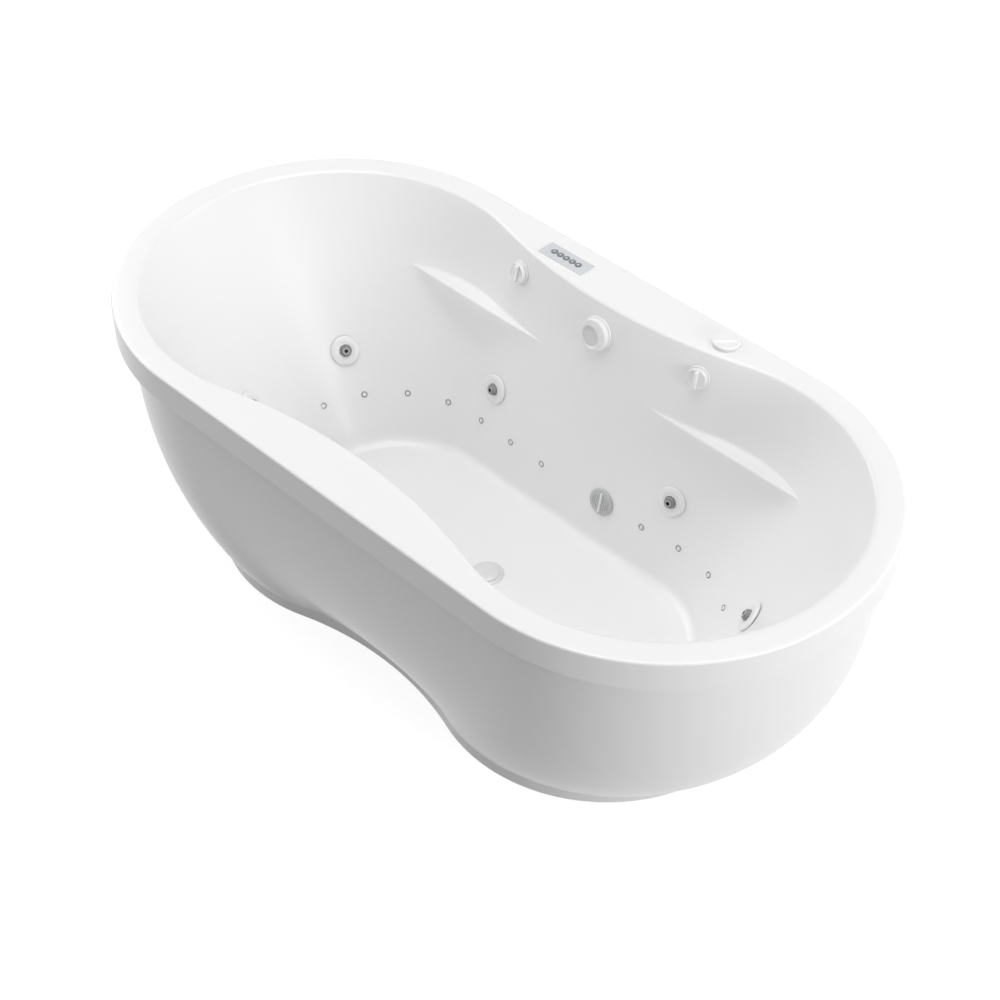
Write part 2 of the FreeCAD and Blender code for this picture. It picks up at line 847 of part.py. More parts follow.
def suction_cover():
    disc = rod(suction_cover_radius, rest_gap, suction_cover_thickness)
    half = suction_bar_width / 2
    reach = suction_cover_radius - suction_bar_width
    bar = block((-half, half), (-reach, reach),
                (suction_cover_thickness, suction_cover_thickness + suction_bar_height))
    return suction_spot().put(disc.fuse(bar))


def suction_pipe():
    spot = suction_spot()
    back = -basin_wall_level - seal_thickness
    body = spot.put(rod(suction_body_radius, back - suction_body_depth, back))
    middle = spot.placement.multVec(V(0, 0, back - suction_body_depth / 2))
    low = suction_pipe_height
    level = (low - plinth_height) / (skirt_top_height - plinth_height)
    far, near = skirt_at(level).grown(-suction_pipe_inset).around_end(suction_pipe_turns)
    inlet_end = volute_end + volute_inlet_length
    side = past_side(middle.x, low, suction_stand_off)
    route = [tuple(middle), (middle.x, side, low),
             (middle.x + suction_swing, side + suction_pipe_radius, low),
             (far[0], far[1], low), (near[0], near[1], low),
             (pump_x, inlet_end + suction_arrival, (low + pump_height + suction_pipe_radius) / 2),
             (pump_x, inlet_end + suction_pipe_bend, pump_height), (pump_x, inlet_end, pump_height)]
    return body.fuse(pipe(route, suction_pipe_radius, suction_pipe_bend))


def along_pump(radius, start, end, make=rod):
    """Rod on the pump's axis, between two places along Y."""
    shape = make(radius, start, end)
    shape.rotate(V(0, 0, 0), V(1, 0, 0), -90)
    shape.translate(V(pump_x, 0, pump_height))
    return shape


def pump_motor():
    mount = along_pump(motor_mount_radius, motor_end, volute_start)
    hole = along_pump(shaft_radius + running_gap, 0, volute_start, cylinder)
    return along_pump(motor_radius, motor_start, motor_end).fuse(mount).cut(hole)


def volute_block():
    return along_pump(volute_radius, volute_start, volute_end)


def pump_volute():
    inlet = along_pump(suction_pipe_radius, volute_end, volute_end + volute_inlet_length)
    chamber = along_pump(volute_radius - volute_wall, volute_start + volute_wall, volute_end - volute_wall)
    shaft_hole = along_pump(shaft_radius + running_gap, volute_start, volute_start + volute_wall, cylinder)
    eye = along_pump(suction_pipe_radius - volute_wall / 2, volute_end - volute_wall,
                     volute_end + volute_inlet_length)
    return volute_block().fuse(inlet).cut([chamber, shaft_hole, eye])


def pump_impeller():
    disc_start = volute_start + volute_wall + impeller_gap
    shaft = along_pump(shaft_radius, rest_gap, disc_start, cylinder)
    disc = along_pump(impeller_radius, disc_start, disc_start + impeller_thickness)
    half = impeller_vane_thickness / 2
    vane = block((impeller_vane_start, impeller_radius - vane_edge_gap),
                 (disc_start, disc_start + impeller_vane_height), (-half, half))
    vanes = []
    for index in range(impeller_vane_count):
        blade = vane.copy()
        blade.rotate(V(0, 0, 0), V(0, 1, 0), 360 / impeller_vane_count * index)
        blade.translate(V(pump_x, 0, pump_height))
        vanes.append(blade)
    return disc.fuse([shaft] + vanes)


def pump_cradle():
    top = board_underside + cradle_thickness
    plate_sides = (cradle_middle - cradle_half_length, cradle_middle + cradle_half_length)
    saddle_sides = (cradle_middle - saddle_half_length, cradle_middle + saddle_half_length)
    plate = block([pump_x + reach for reach in cradle_reach], plate_sides, (board_underside, top))
    saddle = block([pump_x + reach for reach in saddle_reach], saddle_sides, (top, pump_height))
    return plate.fuse(saddle).cut(along_pump(motor_radius, motor_start, motor_end))


def blower_rod(radius, low, high, make=rod):
    shape = make(radius, low, high)
    shape.translate(V(blower_x, 0, 0))
    return shape


def blower_housing():
    chamber = blower_rod(blower_radius - blower_wall, blower_base + blower_wall, blower_top - blower_wall)
    post_top = rotor_base - blower_post_gap
    post = blower_rod(blower_post_radius, blower_base + blower_wall, post_top)
    hole = blower_rod(rotor_shaft_radius + running_gap, blower_base + blower_wall, post_top, cylinder)
    return blower_rod(blower_radius, blower_base, blower_top).cut(chamber).fuse(post).cut(hole)


def blower_rotor():
    shaft = blower_rod(rotor_shaft_radius, blower_base + blower_wall + rest_gap, rotor_base, cylinder)
    disc = blower_rod(rotor_radius, rotor_base, rotor_base + rotor_disc_thickness)
    half = rotor_vane_thickness / 2
    vane = block((rotor_vane_start, rotor_radius - vane_edge_gap), (-half, half),
                 (rotor_base, rotor_base + rotor_height))
    vanes = []
    for index in range(rotor_vane_count):
        blade = vane.copy()
        blade.rotate(V(0, 0, 0), UP, 360 / rotor_vane_count * index)
        blade.translate(V(blower_x, 0, 0))
        vanes.append(blade)
    return disc.fuse([shaft] + vanes)


def blower_bracket():
    start, end = [blower_x + reach for reach in bracket_reach]
    sides = (-bracket_half_width, bracket_half_width)
    top = board_underside + cradle_thickness
    plate = block((start, end), sides, (board_underside, top))
    post = block((start, start + bracket_post_length), sides, (top, blower_base))
    return plate.fuse(post)


def drain_flange():
    outer = drain_bore_radius + drain_body_wall
    return turned([(drain_bore_radius, drain_flange_top), (drain_flange_radius, drain_flange_top),
                   (drain_flange_radius, floor_height), (outer, floor_height),
                   (outer, shell_underside), (drain_bore_radius, shell_underside)])


def drain_stopper():
    underside = drain_flange_top + rest_gap
    cap = turned([(0, underside), (stopper_radius, underside), (stopper_radius, underside + 1.5),
                  (stopper_radius - 4, underside + stopper_thickness), (0, underside + stopper_thickness)])
    return cap.fuse(cylinder(stopper_stem_radius, drain_body_base + drain_body_wall + rest_gap, underside))


def waste_overflow_pipe():
    inside = drain_body_radius - drain_body_wall
    body = rod(drain_body_radius, drain_body_base, shell_underside)
    chamber = rod(inside, drain_body_base + drain_body_wall, shell_underside)
    guide_base = drain_body_base + drain_body_wall
    guide_low = guide_base + stopper_guide_lift
    guide = block((-inside, inside), (-drain_body_wall, drain_body_wall),
                  (guide_low, guide_low + drain_body_wall))
    guide_bore = cylinder(stopper_stem_radius + running_gap, guide_base, shell_underside)
    outlet_low = drain_body_base - waste_outlet_length
    outlet = cylinder(waste_outlet_radius, outlet_low, drain_body_base)
    outlet_bore = rod(waste_outlet_radius - drain_body_wall, outlet_low, guide_base)
    spot = overflow_spot()
    elbow = spot.placement.multVec(V(0, 0, -overflow_body_depth + waste_pipe_radius))
    route = [(0, drain_body_radius - 2, waste_pipe_height), (0, waste_riser_y, waste_pipe_height),
             (0, waste_riser_y + 3, floor_height), (0, elbow.y, elbow.z)]
    riser = pipe(route, waste_pipe_radius, waste_pipe_radius + 2)
    overflow_body = spot.put(rod(overflow_boss_radius, -overflow_body_depth, 0))
    knob_bore = spot.put(cylinder(spindle_radius + running_gap, -spindle_length - 1, 0))
    pieces = body.fuse([riser, outlet]).cut([chamber, outlet_bore])
    return pieces.fuse([guide, overflow_body]).cut([guide_bore, knob_bore])


def overflow_plate():
    plate = rod(overflow_plate_radius, rest_gap, overflow_plate_thickness)
    return overflow_spot().put(plate.cut(rod(spindle_radius + hole_gap, 0, overflow_plate_thickness + 1)))


def overflow_knob():
    low = overflow_plate_thickness + rest_gap
    high = low + overflow_knob_thickness
    knob = rod(overflow_knob_radius, low, high)
    dish = rod(overflow_dish_radius, high - overflow_dish_depth, high)
    dish.translate(V(-overflow_dish_shift, -overflow_dish_shift, 0))
    return overflow_spot().put(knob.cut(dish).fuse(cylinder(spindle_radius, -spindle_length, low)))


def air_control_valves():
    valves = []
    for spot in wall_knob_spots():
        collar = rod(wall_collar_radius, rest_gap, wall_collar_thickness)
        body = rod(valve_body_radius, -valve_body_length, rest_gap)
        hole = cylinder(spindle_radius + running_gap, -spindle_length - 1, wall_collar_thickness)
        valves.append(spot.put(collar.fuse(body).cut(hole)))
    return group(valves)


def wall_knob(spot):
    low = wall_collar_thickness + rest_gap
    high = low + wall_knob_thickness
    half = grip_bar_width / 2
    reach = wall_knob_radius - grip_bar_inset
    bar = block((-half, half), (-reach, reach), (high, high + grip_bar_height))
    spindle = cylinder(spindle_radius, -spindle_length, low)
    return spot.put(rod(wall_knob_radius, low, high).fuse([bar, spindle]))


def deck_valve():
    low = deck_underside - deck_valve_length
    neck = rod(deck_valve_neck_radius, deck_underside, bath_height)
    body = rod(deck_valve_radius, low, deck_underside)
    hole = cylinder(spindle_radius + running_gap, bath_height - 2 * spindle_length, bath_height)
    valve = neck.fuse(body).cut(hole)
    valve.translate(V(deck_knob_x, deck_knob_y, 0))
    return valve


def deck_knob():
    low = bath_height + rest_gap
    high = low + deck_knob_height
    edge = deck_knob_radius - deck_knob_chamfer
    knob = turned([(0, low), (deck_knob_radius, low), (deck_knob_radius, high - deck_knob_chamfer),
                   (edge, high), (0, high)])
    knob = knob.fuse(cylinder(spindle_radius, bath_height - 2 * spindle_length + rest_gap, low))
    knob.translate(V(deck_knob_x, deck_knob_y, 0))
    return knob


def keypad_bezel():
    half_x = keypad_length / 2
    half_y = keypad_width / 2
    plate = block((keypad_x - half_x, keypad_x + half_x), (keypad_y - half_y, keypad_y + half_y),
                  (bath_height, bath_height + keypad_plate))
    bezel = plate.fuse(keypad_box(0, bath_height - keypad_box_depth, bath_height))
    holes = []
    for x, y in button_places():
        hole = rod(button_radius + button_gap, bath_height - keypad_box_depth / 2, bath_height + keypad_plate)
        hole.translate(V(x, y, 0))
        holes.append(hole)
    return bezel.cut(holes)


def button(place):
    low = bath_height - keypad_box_depth / 2 + button_travel + rest_gap
    key = rod(button_radius, low, bath_height + keypad_plate + button_stand)
    key.translate(V(place[0], place[1], 0))
    return key


def control_box():
    return block((box_start, box_end), (box_near, box_far), (board_underside, box_top))


def control_lead():
    top = bath_height - keypad_box_depth
    end_x = keypad_x - keypad_width
    box_middle = (box_near + box_far) / 2
    points = [(keypad_x, keypad_y, top), (keypad_x, keypad_y, top - lead_drop)]
    points += [(x, past_side(x, z, stand_off), z) for x, z, stand_off in lead_route]
    points += [(end_x, box_middle, box_top + lead_drop), (end_x, box_middle, box_top)]
    return pipe(points, lead_radius, bath_height)


def supply_gland():
    low = board_underside - gland_length
    gland = rod(gland_radius, low, board_underside).cut(cylinder(gland_bore_radius, low, board_underside))
    gland.translate(V(box_start + gland_inset, (box_near + box_far) / 2, 0))
    return gland


def pieces():
    """Every node with its shape."""
    shapes = {
        "tub_shell": tub_shell(), "skirt": skirt(), "plinth": plinth(), "base_board": base_board(),
        "base_rails": base_rails(), "cross_members": cross_members(),
        "jet_fittings": jet_fittings(), "jet_locknuts": jet_locknuts(), "water_manifold": water_manifold(),
        "air_injectors": injector_bodies(), "air_manifold": air_loop(), "air_hose": air_hose(),
        "blower_housing": blower_housing(), "blower_rotor": blower_rotor(),
        "blower_bracket": blower_bracket(),
        "suction_cover": suction_cover(), "suction_pipe": suction_pipe(),
        "pump_motor": pump_motor(), "pump_volute": pump_volute(), "pump_impeller": pump_impeller(),
        "pump_cradle": pump_cradle(),
        "drain_flange": drain_flange(), "drain_stopper": drain_stopper(),
        "waste_overflow_pipe": waste_overflow_pipe(), "overflow_plate": overflow_plate(),
        "overflow_knob": overflow_knob(), "air_control_valves": air_control_valves(),
        "deck_valve": deck_valve(), "deck_knob": deck_knob(),
        "keypad_bezel": keypad_bezel(), "control_box": control_box(), "control_lead": control_lead(),
        "supply_gland": supply_gland(),
    }
    for index, place in enumerate(foot_places(), 1):
        shapes[f"levelling_foot_{index}"] = foot(place)
    for index, (spot, seat) in enumerate(zip(jet_spots(), jet_seats()), 1):
        shapes[f"jet_nozzle_{index}"] = jet_nozzle(spot, seat)
    for name, spot in zip(("left", "right"), wall_knob_spots()):
        shapes[f"air_knob_{name}"] = wall_knob(spot)
    for index, place in enumerate(button_places(), 1):
        shapes[f"button_{index}"] = button(place)
    return shapes


def main():
    os.makedirs("parts", exist_ok=True)
    for name, shape in pieces().items():
        shape.exportStep(f"parts/{name}.step")
        bounds = shape.BoundBox
        print(f"{name}: {len(shape.Solids)} solid(s), valid {shape.isValid()}, {shape.Volume / 1000:.1f} cm3, "
              f"z {bounds.ZMin:.1f} to {bounds.ZMax:.1f}")


if __name__ == "__main__":
    main()
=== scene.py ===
import math

import bmesh
import bpy
from mathutils import Matrix, Vector


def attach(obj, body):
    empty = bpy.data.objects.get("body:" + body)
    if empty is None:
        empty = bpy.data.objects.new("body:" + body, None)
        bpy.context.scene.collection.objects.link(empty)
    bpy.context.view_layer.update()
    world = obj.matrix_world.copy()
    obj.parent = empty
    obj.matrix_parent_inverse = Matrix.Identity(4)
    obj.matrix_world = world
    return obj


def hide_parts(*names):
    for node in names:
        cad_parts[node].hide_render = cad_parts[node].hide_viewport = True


bl_info = {
    "name": "Jetted bathtub",
    "version": (1, 0, 0),
    "blender": (4, 5, 0),
    "location": "3D View > Sidebar > Bathtub",
    "description": "Builds the visible pieces of an oval jetted bathtub round its packed frame",
    "category": "Add Mesh",
}

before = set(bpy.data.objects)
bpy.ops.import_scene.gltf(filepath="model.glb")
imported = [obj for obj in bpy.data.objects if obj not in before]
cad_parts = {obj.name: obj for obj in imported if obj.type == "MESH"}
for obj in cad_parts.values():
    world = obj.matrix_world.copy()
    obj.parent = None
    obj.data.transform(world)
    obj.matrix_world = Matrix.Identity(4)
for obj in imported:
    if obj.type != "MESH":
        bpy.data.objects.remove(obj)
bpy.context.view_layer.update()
UP = Vector((0, 0, 1))
SIDES = (1, -1)
MM = 0.001
SMOOTH_ANGLE = math.radians(38)
EDGE_STEPS = 7
CORNER_STEPS = 8
WALL_ROWS = 12
FLARE_ROWS = 22
CAD_END_FACETS = 12
JET_SOCKET = 13.5
LAMP_DISTANCE = 4.5
LAMP_AIM = Vector((0, 0, 0.35))
LAMPS = (("right_low", 0, 12, 1.5, 80), ("right_front", 335, 12, 1.5, 9), ("right_high", 0, 35, 2.0, 4),
         ("key", 62, 43, 1.5, 30), ("top", 0, 89, 3.5, 96), ("left", 180, 30, 3.0, 47),
         ("left_front", 215, 30, 3.0, 27))
CAMERA_PLACE = (2.32250, -2.27055, 3.19931)
CAMERA_AIM = (-0.52576, 0.52264, -0.67114)
SENSOR_WIDTH = 36
FOCAL_SHARE = 2.13899


def length(name, description, default):
    return bpy.props.FloatProperty(name=name, description=description, default=default * MM, unit="LENGTH",
                                   precision=5)


def tint(name, description, default):
    return bpy.props.FloatVectorProperty(name=name, description=description, default=default, size=4,
                                         subtype="COLOR", min=0, max=1)


class ShellSizes(bpy.types.PropertyGroup):
    rim_length: length("Rim length", "Overall length of the rim", 1803)
    rim_width: length("Rim width", "Overall width of the rim", 908)
    height: length("Height", "Floor to the top of the rim", 584)
    rim_drop: length("Rim drop", "Depth of the rim's outer face", 66)
    rim_edge: length("Rim edge radius", "Rounding of the rim's top edge", 5)
    wall: length("Wall", "Thickness of the acrylic", 6)
    mouth_length: length("Mouth length", "Length of the basin at deck height", 1696.2)
    mouth_width: length("Mouth width", "Width of the basin's round ends at deck height", 799.4)
    mouth_waist: length("Mouth waist", "Width of the basin's waist at deck height", 670.2)
    mouth_edge: length("Mouth edge radius", "Rounding where the deck turns into the basin", 6)
    floor_level: length("Floor level", "Height of the basin floor", 50)
    floor_length: length("Floor length", "Length of the basin at floor level", 1004)
    floor_width: length("Floor width", "Width of the basin at floor level", 453)
    floor_corner: length("Floor corner radius", "Rounding between wall and floor", 20)
    armrest_level: length("Armrest level", "Height of the armrest ledges", 415)
    armrest_half_gap: length("Armrest half gap", "Distance of each armrest's front from the middle", 309)
    armrest_edge: length("Armrest edge radius", "Rounding of the armrest's edges", 5)
    drain_hole: length("Drain hole radius", "Radius of the hole for the drain body", 23.3)


class SkirtSizes(bpy.types.PropertyGroup):
    top_length: length("Top length", "Length of the skirt where it meets the rim", 1756)
    top_width: length("Top width", "Width of the skirt's ends where it meets the rim", 830)
    top_waist: length("Top waist", "Width at the middle where it meets the rim", 824)
    foot_length: length("Foot length", "Length of the skirt at its foot", 1363.6)
    foot_width: length("Foot width", "Width of the skirt's ends at its foot", 700)
    foot_waist: length("Foot waist", "Width at the middle of the skirt's foot", 592)
    top_level: length("Top level", "Height of the skirt's upper edge", 523)
    foot_level: length("Foot level", "Height of the skirt's lower edge", 30)
    wall: length("Wall", "Thickness of the skirt", 5)
    reveal: length("Plinth reveal", "Setback of the plinth behind the skirt's foot", 1.5)
    plinth_wall: length("Plinth wall", "Thickness of the plinth ring", 12)
    rise_power: bpy.props.FloatProperty(name="Rise", description="How late the flare opens", default=2.83)
    round_power: bpy.props.FloatProperty(name="Roundness", description="How full the foot is", default=1.17)


class FittingSizes(bpy.types.PropertyGroup):
    jet_level: length("Jet level", "Height of the water jets", 242)
    end_jet_spacing: length("End jet spacing", "Distance between the two jets at an end", 276)
    side_jet_spacing: length("Side jet spacing", "Distance between the two jets on a side", 516)
    jet_radius: length("Jet radius", "Radius of a jet's face", 33)
    jet_face: length("Jet face", "Thickness of a jet's face", 6)
    nozzle_radius: length("Nozzle radius", "Radius of the eyeball nozzle", 12.9)
    nozzle_rise: length("Nozzle centre", "Depth of the nozzle's centre behind the jet's front", 0.8)
    injector_level: length("Injector level", "Height of the air injectors", 152)
    injector_radius: length("Injector radius", "Radius of an air injector", 7)
    injector_pitch: length("Injector pitch", "Spacing of the injectors along the wall", 98)
    injector_first_left: length("First left injector", "Run from the waist to the first one, keypad end", 84)
    injector_first_right: length("First right injector", "Run from the waist to the first one, pump end", 204)
    suction_place: length("Suction place", "Distance of the suction cover from the middle", 94)
    suction_level: length("Suction level", "Height of the suction cover", 155)
    suction_radius: length("Suction radius", "Radius of the suction cover", 31)
    overflow_level: length("Overflow level", "Height of the overflow", 515)
    overflow_radius: length("Overflow plate radius", "Radius of the overflow's plate", 37)
    overflow_knob: length("Overflow knob radius", "Radius of the overflow's knob", 34)
    knob_place: length("Wall control place", "Distance of the wall controls from the middle", 249)
    knob_level: length("Wall control level", "Height of the wall controls", 525)
    knob_radius: length("Wall control radius", "Radius of a wall control", 22)
    collar_radius: length("Collar radius", "Radius of a wall control's collar", 26)
    deck_knob_x: length("Deck control X", "Place of the deck control along the bath", 262)
    deck_knob_y: length("Deck control Y", "Place of the deck control across the bath", 410)
    deck_knob_radius: length("Deck control radius", "Radius of the deck control", 29)
    keypad_x: length("Keypad X", "Place of the keypad along the bath", -159)
    keypad_y: length("Keypad Y", "Place of the keypad across the bath", 391)
    keypad_length: length("Keypad length", "Length of the keypad", 124)
    keypad_width: length("Keypad width", "Width of the keypad", 44)
    button_pitch: length("Button pitch", "Spacing of the keypad's buttons", 17)
    button_radius: length("Button radius", "Radius of a button", 6.5)
    drain_radius: length("Drain radius", "Radius of the drain flange", 36)
    stopper_radius: length("Stopper radius", "Radius of the stopper", 27)


class FinishColours(bpy.types.PropertyGroup):
    acrylic: tint("Acrylic", "Shell, skirt and plinth", (0.86, 0.86, 0.86, 1))
    fittings: tint("White fittings", "Jet faces, knobs and overflow", (0.84, 0.84, 0.84, 1))
    nozzle: tint("Nozzle", "Eyeball nozzles", (0.25, 0.255, 0.26, 1))
    cover: tint("Suction cover", "Suction cover", (0.50, 0.505, 0.51, 1))
    keypad: tint("Keypad", "Keypad plate", (0.63, 0.65, 0.67, 1))
    button: tint("Button", "Keypad buttons", (0.22, 0.23, 0.24, 1))
    floor: tint("Studio floor", "Floor under the bath", (0.26, 0.26, 0.26, 1))


# ---- outlines and places -------------------------------------------------------------------------

class Oval:
    """Plan outline: two round ends, and two long sides that draw in to a waist."""

    waist_steps = 14
    end_steps = 34

    def __init__(self, length, width, waist):
        self.size = (length, width, waist)
        self.r = width / 2
        self.c = length / 2 - self.r
        self.w = waist / 2
        self.bow = None
        self.join = (self.c, self.r)
        self.run = self.c
        if abs(self.r - self.w) > 1e-5:
            self.bow = (self.c ** 2 + self.w ** 2 - self.r ** 2) / (2 * (self.r - self.w))
            reach = self.r + self.bow
            self.join = (self.c - self.r * self.c / reach, self.r * (self.w + self.bow) / reach)
            self.run = self.bow * math.asin(self.join[0] / self.bow)

    def grown(self, distance):
        return Oval(*(size + 2 * distance for size in self.size))

    def towards(self, other, share):
        return Oval(*(a + (b - a) * share for a, b in zip(self.size, other.size)))

    def side_at(self, x):
        """Point on the +Y side at x, with the outward normal there."""
        if abs(x) > self.join[0]:
            across = (abs(x) - self.c) / self.r
            return (x, self.r * math.sqrt(1 - across ** 2)), (math.copysign(across, x), math.sqrt(1 - across ** 2))
        if self.bow is None:
            return (x, self.r), (0, 1)
        y = self.w + self.bow - math.copysign(math.sqrt(self.bow ** 2 - x ** 2), self.bow)
        return (x, y), (-x / self.bow, (self.w + self.bow - y) / self.bow)

    def end_at(self, y):
        step = math.sqrt(self.r ** 2 - y ** 2)
        return (self.c + step, y), (step / self.r, y / self.r)

    def along(self, run):
        """Point a given run along the +Y side from the waist towards +X, with its outward normal."""
        if run <= self.run:
            return self.side_at(run if self.bow is None else self.bow * math.sin(run / self.bow))
        turn = math.atan2(self.join[1], self.join[0] - self.c) - (run - self.run) / self.r
        return (self.c + self.r * math.cos(turn), self.r * math.sin(turn)), (math.cos(turn), math.sin(turn))

    def ring(self, z):
        """Points all round the outline, with the same count for every outline."""
        quarter = [self.side_at(self.join[0] * k / self.waist_steps)[0] for k in range(self.waist_steps)]
        start = math.atan2(self.join[1], self.join[0] - self.c)
        for k in range(self.end_steps + 1):
            turn = start * (1 - k / self.end_steps)
            quarter.append((self.c + self.r * math.cos(turn), self.r * math.sin(turn)))
        half = quarter + [(x, -y) for x, y in quarter[-2::-1]]
        return [Vector((x, y, z)) for x, y in half + [(-x, y) for x, y in half[-2:0:-1]]]


def basin(z):
    """Outline of the basin's inner wall at a height."""
    s = bpy.context.scene.bath_shell
    low = Oval(s.floor_length, s.floor_width, s.floor_width)
    high = Oval(s.mouth_length, s.mouth_width, s.mouth_waist)
    return low.towards(high, (z - s.floor_level) / (s.height - s.floor_level))


def wall_place(find, z, flip_x=1, flip_y=1):
    """Matrix of a place on the basin wall: its Z points into the basin and its X runs level."""
    (x, y), (level_x, level_y) = find(basin(z))
    (next_x, next_y), _ = find(basin(z + MM))
    lean = ((next_x - x) * level_x + (next_y - y) * level_y) / MM
    inward = Vector((-level_x * flip_x, -level_y * flip_y, lean)).normalized()
    across = UP.cross(inward).normalized()
    turn = Matrix((across, inward.cross(across), inward)).transposed().to_4x4()
    return Matrix.Translation((x * flip_x, y * flip_y, z)) @ turn


def jet_places():
    f = bpy.context.scene.bath_fittings
    finds = (lambda oval: oval.end_at(f.end_jet_spacing / 2), lambda oval: oval.side_at(f.side_jet_spacing / 2))
    return [wall_place(find, f.jet_level, flip_x, flip_y)
            for find in finds for flip_x in SIDES for flip_y in SIDES]


def injector_places():
    f = bpy.context.scene.bath_fittings
    places = []
    for flip_x, first, count in ((-1, f.injector_first_left, 7), (1, f.injector_first_right, 5)):
        for k in range(count):
            run = first + k * f.injector_pitch
            places += [wall_place(lambda oval: oval.along(run), f.injector_level, flip_x, flip_y)
                       for flip_y in SIDES]
    return places


# ---- mesh helpers --------------------------------------------------------------------------------

def stacked(bm, rings):
    """Skin drawn out from the first closed ring through all the others; returns its first and last loops."""
    loop = bmesh.ops.create_circle(bm, segments=len(rings[0]), radius=1)["verts"]
    for vert, point in zip(loop, rings[0]):
        vert.co = point
    first = loop
    edges = [bm.edges.get((a, b)) for a, b in zip(loop, loop[1:] + loop[:1])]
    for ring in rings[1:]:
        drawn = bmesh.ops.extrude_edge_only(bm, edges=edges)["geom"]
        fresh = {item for item in drawn if isinstance(item, bmesh.types.BMVert)}
        loop = [next(edge.other_vert(vert) for edge in vert.link_edges if edge.other_vert(vert) in fresh)
                for vert in loop]
        for vert, point in zip(loop, ring):
            vert.co = point
        edges = [bm.edges.get((a, b)) for a, b in zip(loop, loop[1:] + loop[:1])]
    return first, loop


def closed_skin(rings):
    """Mesh through closed rings, with the last one joined back to the first."""
    bm = bmesh.new()
    first, last = stacked(bm, rings)
    for k in range(len(first)):
        bm.faces.new((last[k - 1], last[k], first[k], first[k - 1]))
    bmesh.ops.recalc_face_normals(bm, faces=bm.faces)
    return bm


def lathed(bm, profile, steps=64):
    """Solid turned about Z from (radius, height) points in millimetres; both ends lie on the axis."""
    verts = [bm.verts.new((radius * MM, 0, height * MM)) for radius, height in profile]
    edges = [bm.edges.new(pair) for pair in zip(verts, verts[1:])]
    bmesh.ops.spin(bm, geom=verts + edges, cent=(0, 0, 0), axis=(0, 0, 1), angle=2 * math.pi,
                   steps=steps, use_merge=True)
    bmesh.ops.remove_doubles(bm, verts=bm.verts, dist=1e-6)
    bmesh.ops.recalc_face_normals(bm, faces=bm.faces)


def rounded(corners, radius, steps=4):
    """Profile with each inner corner rounded, as far as its runs leave room."""
    points = [corners[0]]
    for before, corner, after in zip(corners, corners[1:], corners[2:]):
        a, b, c = Vector(before), Vector(corner), Vector(after)
        step = min(radius, 0.45 * (a - b).length, 0.45 * (c - b).length)
        low = b + (a - b).normalized() * step
        high = b + (c - b).normalized() * step
        for k in range(steps + 1):
            t = k / steps
            points.append(tuple(low * (1 - t) ** 2 + b * 2 * t * (1 - t) + high * t ** 2))
    return points + [corners[-1]]


def slab(bm, x, y, z, edge, segments=3, index=0):
    """Rounded block between its (low, high) pairs, in metres, with a material number."""
    others = set(bm.faces)
    made = bmesh.ops.create_cube(bm, size=1)["verts"]
    size = [high - low for low, high in (x, y, z)]
    middle = [(high + low) / 2 for low, high in (x, y, z)]
    bmesh.ops.transform(bm, matrix=Matrix.Translation(middle) @ Matrix.Diagonal((*size, 1)), verts=made)
    edges = list({item for vert in made for item in vert.link_edges})
    bmesh.ops.bevel(bm, geom=edges, offset=edge, affect="EDGES", segments=segments, profile=0.5, material=-1)
    for face in set(bm.faces) - others:
        face.material_index = index


def add_part(bm, part, place):
    """Moves a part to its place and joins it into the mesh."""
    bmesh.ops.transform(part, matrix=place, verts=part.verts)
    mesh = bpy.data.meshes.new("part")
    part.to_mesh(mesh)
    part.free()
    bm.from_mesh(mesh)
    bpy.data.meshes.remove(mesh)


def finished(bm, name, body, finishes, nodes=(), place=None, smooth=True):
    """Turns a mesh into a finished object that rides on its body and stands for its nodes."""
    if place is not None:
        bmesh.ops.transform(bm, matrix=place, verts=bm.verts)
    mesh = bpy.data.meshes.new(name)
    bm.to_mesh(mesh)
    bm.free()
    piece = bpy.data.objects.new(name, mesh)
    bpy.context.scene.collection.objects.link(piece)
    for finish in finishes:
        mesh.materials.append(finish)
    for polygon in mesh.polygons:
        polygon.use_smooth = smooth
    if smooth:
        mesh.set_sharp_from_angle(angle=SMOOTH_ANGLE)
    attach(piece, body)
    if nodes:
        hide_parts(*nodes)
    return piece


def painted(bm, index, test):
    """Gives material number index to the faces whose middle passes the test."""
    for face in bm.faces:
        if test(face.calc_center_median()):
            face.material_index = index


# ---- finishes ------------------------------------------------------------------------------------

